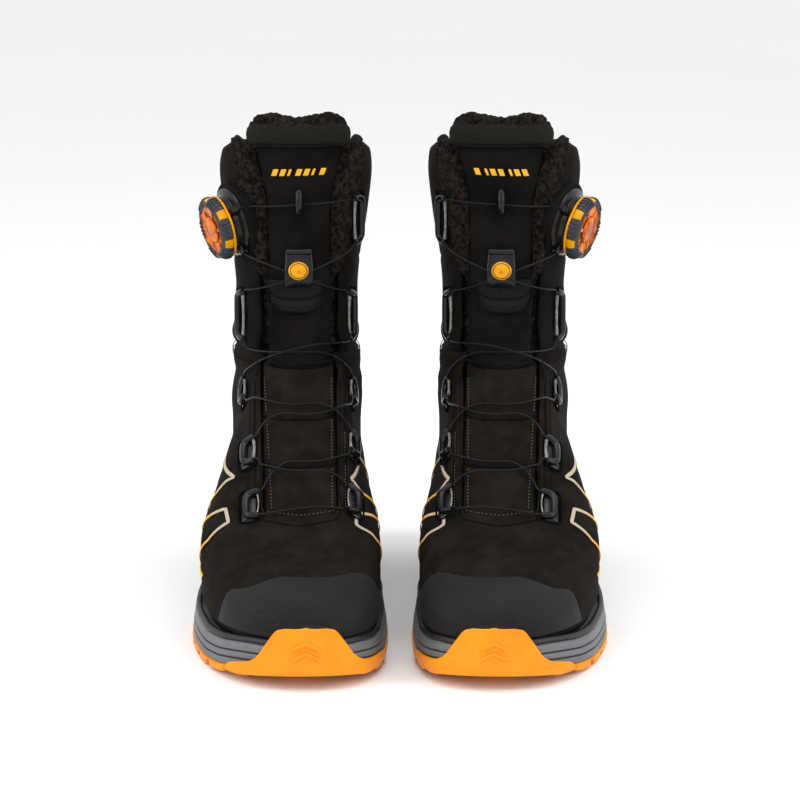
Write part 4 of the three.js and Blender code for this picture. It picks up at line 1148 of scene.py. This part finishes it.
# %% Plain slanted bars where a maker's print would be
bars = []
for k in range(7):
    x0 = -16.2 + k * 4.7
    wide_bar = 2.9 if k not in (2, 5) else 1.3
    v, u = np.linspace(0, 1, 6)[:, None], np.linspace(0, 1, 6)[None]
    bars.append(sheet_on("mark", x0 + u * wide_bar + v * 1.4, 261.6 + 3.9 * v + 0.1 * k + 0 * u,
                         0.75 + 1.4 * (1 - ((x0 + 2) / 24) ** 2) - 0.55, 0.35))
marks = join(*bars)
marks.name = "tongue_marks"
stand(marks, "tongue", "dial_plastic", look=sun)

# %% [markdown]
# ## Cable guides and the cable
# Each guide is a moulded plate with a hooked channel that turns the cable back. The cable goes from the dial down
# the tongue, from side to side, and up again; every turn is held in a guide. It is one line through points that
# are worked out from the guides' own places, so the two always fit.

# %% Guides
GUIDES = {
    "medial_1": (34.5, 233.5, 34), "lateral_2": (-34.5, 174, 34), "medial_2": (30, 174, 34),
    "lateral_3": (-33.2, 124.5, 24), "medial_3": (30.2, 124.5, 24), "lateral_4": (-30.6, 102.5, 25),
    "medial_4": (30.6, 102.5, 25), "lateral_5": (-29.2, 79, 25), "medial_5": (31, 79, 25)}
CABLE, LANE, LANE_IN, LOW = 1.4, 3.3, 1.2, 2.5
HIGH = LOW + CABLE + 0.6
MOUTH_REACH = 8


def guide_frame(x, z):
    """A guide's point, and its directions out, up and away from the tongue."""
    (point, higher, lower), n = front_point([x] * 3, [z, z + 4, z - 4])
    upward = (higher - lower) / np.linalg.norm(higher - lower)
    out = n[0] - upward * n[0].dot(upward)
    out /= np.linalg.norm(out)
    away = np.cross(upward, out)
    return point, out, upward, away * (1 if away[0] * x > 0 else -1)


def beside(frame_of, a, b, c):
    point, out, upward, away = frame_of
    return point + away * a + upward * b + out * c


def guide_turn(place):
    """The cable's turn in a guide, from the top mouth to the bottom one."""
    f, h = guide_frame(*place[:2]), place[2] / 2
    return [beside(f, a, b, LANE) for a, b in
            ((-MOUTH_REACH, h - 2.8), (LANE_IN - 3, h - 4.4), (LANE_IN, h - 8), (LANE_IN, 8 - h),
             (LANE_IN - 3, 4.4 - h), (-MOUTH_REACH, 2.8 - h))]


def guide_piece(name, place):
    """A bevelled plate, and over it the hooked channel, a thick rounded bar."""
    f, h = guide_frame(*place[:2]), place[2] / 2
    bpy.ops.mesh.primitive_cube_add(size=1)
    plate = bpy.context.object
    plate.name = name
    plate.data.transform(Matrix.Translation((0.0006, 0, 0.0004)) @ Matrix.Diagonal((0.0118, 2 * h / 1000, 0.0032, 1)))
    only(plate)
    bpy.ops.object.mode_set(mode="EDIT")
    bpy.ops.mesh.select_all(action="DESELECT")
    bpy.ops.object.mode_set(mode="OBJECT")
    for edge in plate.data.edges:
        a, b = (plate.data.vertices[i].co for i in edge.vertices)
        edge.select = abs(a.z - b.z) > 0.001
    bpy.ops.object.mode_set(mode="EDIT")
    bpy.ops.mesh.bevel(offset=0.0038, segments=5, affect="EDGES")
    bpy.ops.object.mode_set(mode="OBJECT")
    apply(plate, "BEVEL", width=0.0006, segments=2, limit_method="ANGLE", angle_limit=math.radians(50))
    point, out, upward, away = f
    turn_it = Matrix((away, upward, out)).transposed().to_4x4()
    plate.data.transform(Matrix.Translation(Vector(point) / 1000) @ turn_it)
    path = [beside(f, a, b, LANE - 0.3) for a, b in
            ((-6.2, h - 2.9), (-3.4, h - 3.2), (0.2, h - 4.6), (LANE_IN + 0.4, h - 8), (LANE_IN + 0.4, 8 - h),
             (0.2, 4.6 - h), (-3.4, 3.2 - h), (-6.2, 2.9 - h))]
    path = smooth_line(path, 6)
    share = np.linspace(0, 1, len(path))
    thick = 1.95 + 0.3 * np.sin(share * math.pi) - 0.6 * (ridge(share, 0.03) + ridge(share - 1, 0.03))
    # A pale crescent bar beside the channel paints the lamps' highlight on the glossy guide, wider on the higher
    # guides. The guide has no grey part there.
    rise = np.linspace(-1, 1, 25)
    highlight_crescent = [beside(f, -4.4 - 1.2 * (1 - b ** 2), b * (h - 3.4), 2.2) for b in rise]
    fat = (1.1 if place[1] > 90 else 0.6) * np.clip(1.15 - 0.45 * (1 - rise ** 2), 0.3, 1)
    trim = bar("guide_highlight_paint", highlight_crescent, fat * np.clip((1.02 - np.abs(rise)) * 8, 0.3, 1), 10)
    trim.data.materials.append(guide_highlight_paint.material)
    plate.data.materials.append(gloss.material)
    channel = bar("channel", path, thick, 14)
    channel.data.materials.append(gloss.material)
    piece = join(plate, channel, trim)
    piece.name = name
    tidy(piece, 50)
    return piece


for key, place in GUIDES.items():
    stand(guide_piece(f"guide_{key}", place), "boot", "black_plastic", f"cable_guide_{key}")

# %% [markdown]
# The dial's axis leans forward and down, square to the flared cuff. The cable leaves its housing at the upper
# edge and comes back to the lower one.

# %% The last as a mesh to lay the cable on, and the dial's place
t, turn = np.meshgrid(np.linspace(-0.9, 19.9, 210), np.linspace(0, FULL, 240, endpoint=False), indexing="ij")
last_grid = last(t, turn)
last_tree = BVHTree.FromPolygons([Vector(p) for p in last_grid.reshape(-1, 3)],
                                 grid_faces(*last_grid.shape[:2], wrap=True))


def hit(origin, direction):
    """Where a line meets the last, with the direction out there."""
    point, n, _, _ = last_tree.ray_cast(Vector(origin), Vector(direction))
    return np.array(point), np.array(n if n.dot(Vector(direction)) < 0 else -n)


DIAL_AXIS = np.array((-0.89, -0.4, -0.22)) / np.linalg.norm((-0.89, -0.4, -0.22))
dial_seat, _ = hit(np.array((-38, 211.1, 230)) + DIAL_AXIS * 80, -DIAL_AXIS)
dial_place = Matrix.Translation(dial_seat) @ Vector((0, 0, 1)).rotation_difference(Vector(DIAL_AXIS)).to_matrix().to_4x4()
print("dial sits at", dial_seat.round(1))

# %% The cable's way
WAY = [("medial_1", False, LOW, 1.5, None), ("lateral_2", False, HIGH, -1, None), ("medial_3", False, LOW, -8, 0.3),
       ("lateral_4", False, HIGH, -19, 0.4), ("medial_5", False, HIGH, -9, 0.12), ("lateral_5", True, LOW, 1, None),
       ("medial_4", True, LOW, -12, 0.88), ("lateral_3", True, LOW, -19, 0.6), ("medial_2", True, HIGH, -1, None)]
STEPS = (0.06, 0.14, 0.25, 0.35, 0.5, 0.65, 0.75, 0.86, 0.94)


def level(f, hold):
    """How far the cable has gone up or down by the share f of its way: it runs level in the middle."""
    return f if hold is None else hold + (-hold if f < 0.5 else 1 - hold) * abs(2 * f - 1) ** 3


def crossing(start, end, out, stand_off, bend, hold, steps=STEPS):
    """The free cable between two mouths, laid over the last."""
    out = np.array((0, out[1], out[2]))
    out /= np.linalg.norm(out)
    upward = np.array((0, -out[2], out[1])) * (-1 if out[1] < 0 else 1)
    points = []
    for f in steps:
        middle = 4 * f * (1 - f)
        shift = bend * middle + (end - start).dot(upward) * (level(f, hold) - f)
        p, n = hit(start + (end - start) * f + upward * shift + out * 200, -out)
        points.append(p + n * (LOW + (stand_off - LOW) * min(1, 1.6 * middle)))
    return points


def mouth(towards, radius):
    local = dial_place.inverted() @ Vector(towards)
    angle = math.atan2(local.y, local.x)
    return np.array(dial_place @ Vector((radius * math.cos(angle), radius * math.sin(angle), 3.9)))


upper_aim, lower_aim = front_point([0, -8], [262, 196])[0]
route = [mouth(upper_aim, 13.5), mouth(upper_aim, 22.5)]
out = np.array((0, -1.0, 0))
for key, rising, stand_off, bend, hold in WAY:
    through = guide_turn(GUIDES[key])[::-1 if rising else 1]
    next_out = guide_frame(*GUIDES[key][:2])[1]
    route += crossing(route[-1], through[0], out + next_out, stand_off, bend, hold, STEPS[1 if len(route) == 2 else 0:])
    route += through
    out = next_out
home = [mouth(lower_aim, 22.5), mouth(lower_aim, 13.5)]
route += crossing(route[-1], home[0], out + np.array((0, -1, 0)), LOW, 1, None, STEPS[:-1]) + home
route = smooth_line(route, 5)
print("cable is", round(float(np.linalg.norm(np.diff(route, axis=0), axis=1).sum())), "mm long")

# %% [markdown]
# The tongue tilts forward and pushes the cable with it, but each turn stays in its guide. So the cable over the
# tongue is parted at its middle, and each part is stood as a piece of its own, fixed in the pair's frame.

# %% Cable pieces
def pair_blend(name, half):
    """Stands one part of the cable in both boots, in steel, fixed in the pair's frame."""
    stood = []
    for side in ("right", "left"):
        twin = bpy.data.objects.new(f"{side}_{name}", half.data.copy())
        bpy.context.scene.collection.objects.link(twin)
        twin.data.transform(place_of(side))
        if side == "left":
            twin.data.flip_normals()
        twin.data.materials.clear()
        twin.data.materials.append(steel.material)
        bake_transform(twin)
        stood.append(twin)
    bpy.data.objects.remove(half)
    return stood


moving = route[:, 2] > 149
runs, kind = [], np.where(moving, np.where(route[:, 0] < 0, 1, 2), 0)
begin = 0
for i in range(1, len(route) + 1):
    if i == len(route) or kind[i] != kind[begin]:
        runs.append((kind[begin], route[begin:min(i + 1, len(route))]))
        begin = i
fixed = [bar("run", points, CABLE / 2 - 0.16, 10) for k, points in runs if k == 0 and len(points) > 1]
lateral = [bar("run", points, CABLE / 2 - 0.16, 10) for k, points in runs if k == 1 and len(points) > 1]
medial = [bar("run", points, CABLE / 2 - 0.16, 10) for k, points in runs if k == 2 and len(points) > 1]
lower_cable = join(*fixed)
lower_cable.name = "cable_lower"
stand(lower_cable, "boot", "coated_steel", "cable", look=steel)
pair_blend("cable_upper_lateral", join(*lateral))
pair_blend("cable_upper_medial", join(*medial))
print(len(runs), "runs of cable")

# %% [markdown]
# ## The dial
# The dial is a turned part: a flanged base on the cuff, and over it an amber knob with a yellow shoulder and six
# ribbed rubber grips. A small hub in the middle holds it. It is modelled upright on the floor, then put in place.

# %% Base and housing
def turned(name, profile, sides=64):
    """A turned piece from radius and height pairs, spun about the dial's axis."""
    mesh = bpy.data.meshes.new(name)
    mesh.from_pydata([(r / 1000, 0, h / 1000) for r, h in profile], [(i, i + 1) for i in range(len(profile) - 1)], [])
    piece = bpy.data.objects.new(name, mesh)
    bpy.context.scene.collection.objects.link(piece)
    only(piece)
    bpy.ops.object.mode_set(mode="EDIT")
    bpy.ops.mesh.select_all(action="SELECT")
    bpy.ops.mesh.spin(steps=sides, angle=FULL, center=(0, 0, 0), axis=(0, 0, 1))
    bpy.ops.mesh.select_all(action="SELECT")
    bpy.ops.mesh.remove_doubles(threshold=1e-6)
    bpy.ops.mesh.normals_make_consistent(inside=False)
    bpy.ops.object.mode_set(mode="OBJECT")
    piece.data.shade_smooth()
    bpy.ops.object.shade_smooth_by_angle(angle=math.radians(38))
    return piece


def on_dial(piece):
    move = Matrix.Translation(dial_place.translation / 1000) @ dial_place.to_3x3().to_4x4()
    piece.data.transform(move)
    return piece


base = turned("dial_housing", [(0, 1.4), (10, 1.4), (10.5, 1.8), (10.5, 6.0), (16.6, 6.4), (17.4, 5.9), (17.9, 4.6),
                               (18.6, 2.6), (20.6, 1.7), (21.9, 1.0), (22.2, 0.2), (22.2, -6), (0, -6)])
posts = []
for target in (upper_aim, lower_aim):
    a, b = mouth(target, 14), mouth(target, 23.5)
    posts.append(bar("mouth", [a, (a + b) / 2, b], [2.3, 2.3, 1.9], 14))
housing = join(on_dial(base), *posts)
tidy(housing, 38)
stand(housing, "boot", "black_plastic", "dial_base", look=gloss)

patch_ring = turned("dial_patch", [(20, -7), (24.6, -7), (25.2, -1.4), (24.4, -0.5), (20, 0.2)])
stand(on_dial(patch_ring), "boot", "soft_shell", look=soft_shell)

# %% Knob, grips and hub
knob = turned("dial_knob", [(3.4, 7.1), (18.2, 7.1), (18.9, 7.4), (18.4, 8.6), (18.4, 12.6), (17.6, 13.9), (16.0, 14.8),
                            (14.9, 15.0), (14.2, 14.5), (11.5, 14.1), (9.3, 13.9), (8.5, 13.6), (8.5, 12.6),
                            (3.4, 12.6), (3.4, 7.1)], 96)
spokes = []
for k in range(6):
    bpy.ops.mesh.primitive_cube_add(size=1)
    spoke = bpy.context.object
    spoke.data.transform(Matrix.Rotation(k * FULL / 6, 4, "Z") @ Matrix.Translation((0.0115, 0, 0.0142))
                         @ Matrix.Diagonal((0.0052, 0.0022, 0.0012, 1)))
    apply(spoke, "BEVEL", width=0.0004, segments=2)
    spokes.append(spoke)
knob = join(knob, *spokes)
stand(on_dial(knob), "knob", "dial_plastic", "dial_knob", look=amber)

shoulders, grips = [], []
for k in range(6):
    start = k * FULL / 6
    a = start + np.linspace(-0.34, 0.34, 21)
    rows = [(18.3, 8.4), (19.2, 8.8), (19.6, 9.6), (19.6, 12.0), (18.9, 13.6), (17.4, 14.8), (16.2, 15.3), (15.6, 14.8)]
    grid = np.array([[(r * math.cos(b), r * math.sin(b), h) for b in a] for r, h in rows])
    inward = np.array([[(math.cos(b), math.sin(b), 0) for b in a] for _ in rows])
    faces = grid_faces(len(rows), len(a))
    grips.append(thicken("grip", grid.reshape(-1, 3), inward.reshape(-1, 3), faces, 1.6, lengths(grid)))
    for j in (-0.21, -0.07, 0.07, 0.21):
        b = start + j
        rib = [(r * math.cos(b), r * math.sin(b), h) for r, h in rows[1:-1]]
        grips.append(bar("rib", smooth_line(rib, 3), 0.62, 8))
    a = start + FULL / 12 + np.linspace(-0.2, 0.2, 9)
    rows = [(18.3, 8.8), (18.9, 9.2), (18.9, 12.2), (18.2, 13.4), (17.4, 14.1)]
    grid = np.array([[(r * math.cos(b), r * math.sin(b), h) for b in a] for r, h in rows])
    inward = np.array([[(math.cos(b), math.sin(b), 0) for b in a] for _ in rows])
    shoulders.append(thicken("shoulder", grid.reshape(-1, 3), inward.reshape(-1, 3), grid_faces(len(rows), len(a)), 0.9,
                             lengths(grid)))
grips.append(turned("rim", [(15.0, 14.6), (15.4, 15.3), (16.6, 15.2), (17.7, 14.3), (17.3, 13.8), (15.2, 14.1), (15.0, 14.6)], 96))
grips = join(*grips)
grips.name = "dial_grips"
tidy(grips, 50)
stand(on_dial(grips), "knob", "dial_plastic", look=grip)
shoulders = join(*shoulders)
shoulders.name = "dial_shoulders"
stand(on_dial(shoulders), "knob", "dial_plastic", look=yolk)
collar_ring = turned("dial_ring", [(17.9, 7.2), (19.3, 7.2), (19.6, 7.9), (19.3, 8.6), (17.9, 8.6), (17.9, 7.2)], 96)
stand(on_dial(collar_ring), "knob", "dial_plastic", look=yolk)
hub = turned("dial_hub", [(0, 2.2), (2.9, 2.2), (2.9, 12.9), (6.4, 13.2), (7.7, 14.0), (7.9, 14.6), (7.2, 15.2), (4.5, 15.5),
                          (0, 15.6)])
stand(on_dial(hub), "dial_hub", "dial_plastic", "dial_core", look=amber)

# %% [markdown]
# ## Trim
# Piping runs down both sides of the instep and round the tongue. Grey thread holds the pads' margins, black
# thread the panels. Printed outlines on the quarter are thin raised lines that go from grey to yellow.

# %% Piping
def front_line(x, z, lift, count=60):
    """A line on the front of the last through a few x and z pairs."""
    f = np.linspace(0, 1, len(x))
    where = np.linspace(0, 1, count)
    p, n = front_point(np.interp(where, f, x), np.interp(where, f, z))
    return p + n * lift


piping = []
for s in (-1, 1):
    piping.append(bar("piping", front_line([24.2 * s, 24.2 * s], [80, 148], 0.5), 1.15))
    piping.append(bar("piping", front_line([27.6 * s, 27.8 * s, 27.4 * s], [78, 112, 147], 0.3), 0.9))
piping.append(bar("piping", front_line([-24, -20, 0, 20, 24], [81, 74.5, 72.5, 74.5, 81], 0.4), 1.1))
eyestay = join(*piping)
eyestay.name = "eyestay_piping"
stand(eyestay, "boot", "nubuck", look=nubuck)

band_piping = bar("band_piping", front_line([-31, -28, -24, 0, 24, 28, 31], [271, 277.5, 279.4, 279.6, 279.4, 277.5, 271],
                                            0.9, 90), 0.95)
flex_piping = bar("flex_piping", front_line([-19.5, 0, 19.5], [149.5, 149.5, 149.5], 0.2), 1.0)
trim = join(band_piping, flex_piping)
trim.name = "tongue_piping"
stand(trim, "tongue", "soft_shell", look=soft_shell)


# %% Stitching
def sew_front(x, z, lift, **sizes):
    """Stitches along a line on the front of the last."""
    p = front_line(x, z, lift, 80)
    q = front_line(x, z, lift + 10, 80)
    sew_points(p, q - p, **sizes)


def sew_points(p, out, pitch=2.7, length=1.9, width=0.42):
    path = evenly(p, pitch)
    out = out[np.linspace(0, len(out) - 1, len(path)).round().astype(int)]
    for a, b, o in zip(path[:-1], path[1:], out):
        d = (b - a) / np.linalg.norm(b - a)
        s = np.cross(d, o)
        s /= np.linalg.norm(s)
        o = np.cross(s, d)
        middle = (a + b) / 2 + o * 0.1
        ring = [middle + d * along * length + (s * math.cos(k) + o * math.sin(k) * 0.8) * width * fat
                for along, fat in BEAD[1:-1] for k in np.arange(6) * FULL / 6]
        bead_shapes.append([middle - d * length / 2 - o * width / 2, *ring, middle + d * length / 2 - o * width / 2])


for s in (-1, 1):
    for low, high in ((79, 97), (101.5, 120), (124, 140.5)):
        x = [-16.6 - (z - 79) * 0.075 if s < 0 else 18.4 for z in (low, high)]
        sew_front(x, [low, high], 0.5, pitch=2.4, length=1.5)
sew_front([26.0, 26.0], [79, 97], 0.7, pitch=2.4, length=1.6)
sew_front([26.0, 26.0], [101.5, 112], 0.7, pitch=2.4, length=1.6)
sew_front([-20, 0, 20], [77.8, 76.4, 77.8], 0.5, pitch=2.4, length=1.5)
stand(gather_stitches("grey_stitches"), "boot", "nubuck", look=thread)

for s in (-1, 1):
    sew_front([31 * s, 30.5 * s, 30 * s], [80, 112, 145], 0.35)
turn = np.linspace(RIGHT_ANGLE + 0.75, RIGHT_ANGLE + FULL - 0.75, 240)
for drop in (4.2, 6.6):
    sew(at_height(SEAM - drop)(turn), turn, 1.6)
stand(gather_stitches("black_stitches"), "boot", "nubuck", look=dark_thread)

sew_front([-27, -23, 0, 23, 27], [275, 277, 277.2, 277, 275], 0.8)
for k in range(18):
    a = k * FULL / 18
    at = np.array([[r * math.cos(a), 246 + 1.3 * r * math.sin(a)] for r in (6.2, 7.6)])
    p, n = front_point(at[:, 0], at[:, 1])
    sew_points(p + n * 1.1, n, pitch=2, length=1.6, width=0.3)
stand(gather_stitches("tongue_stitches"), "tongue", "soft_shell", look=dark_thread)


# %% Printed outlines on the quarters
def print_line(corners, flat, side, width=1.9):
    """A flat printed line through y and z corners on one side; it fades from grey to yellow away from its middle."""
    path = evenly(np.array([(0.0, y, z) for y, z in corners]), 1.2)
    hits = [hit((side * 200, y, z), (-side, 0, 0)) for _, y, z in path]
    p, n = (np.array(v) for v in zip(*hits))
    along = np.gradient(p, axis=0)
    s = np.cross(along, n)
    s /= np.linalg.norm(s, axis=1, keepdims=True)
    run = np.linalg.norm(np.diff(p, axis=0, prepend=p[:1]), axis=1).cumsum()
    fade = np.maximum(0, np.abs(run - run[-1] * 0.5) - flat)
    slim = width * (0.62 + 0.38 * np.exp(-fade / 12))
    p = p + n * bulge(p)[:, None]
    grid = np.stack([p + n * 0.75 + s * (slim * k)[:, None] for k in (-0.5, 0, 0.5)], 1)
    uv = np.repeat(np.stack([fade, run], -1), 3, axis=0)
    return thicken("printed", grid.reshape(-1, 3), np.repeat(n, 3, axis=0), grid_faces(*grid.shape[:2]), 0.6, uv)


def bracket(y, z, edge, size=1.0):
    """A mark's corners in y and z: the end of its back arm, its peak, its front edge, and its lower arm."""
    steps = [(30 * size, -25 * size), (0, 0), (-edge, -5), (-edge, -15), (15 - edge, -40 * size)]
    return [(y + back, z + up) for back, up in steps]


UPPER_MARK = bracket(155, 95, 35)
LOWER_MARK = bracket(100, 75, 10, 0.8)
FOOT = LOWER_MARK[-1]
TAIL_MARK = [FOOT, (FOOT[0] - 25, FOOT[1])]
prints = [print_line(UPPER_MARK, 20, -1), print_line(LOWER_MARK, 10, -1), print_line(TAIL_MARK, -30, -1, 2.4),
          print_line(UPPER_MARK, 20, 1), print_line(LOWER_MARK, 10, 1)]
printed = join(*prints)
printed.name = "printed_outline"
stand(printed, "boot", "nubuck", look=print_ink)

# %% The frame's own hidden solids get a finish too
for side in ("right", "left"):
    for node, look in (("toe_cap", grip), ("insole_board", felt), ("dial_spool", gloss)):
        piece = bpy.data.objects[f"{side}_{node}"]
        piece.data.materials.clear()
        piece.data.materials.append(look.material)
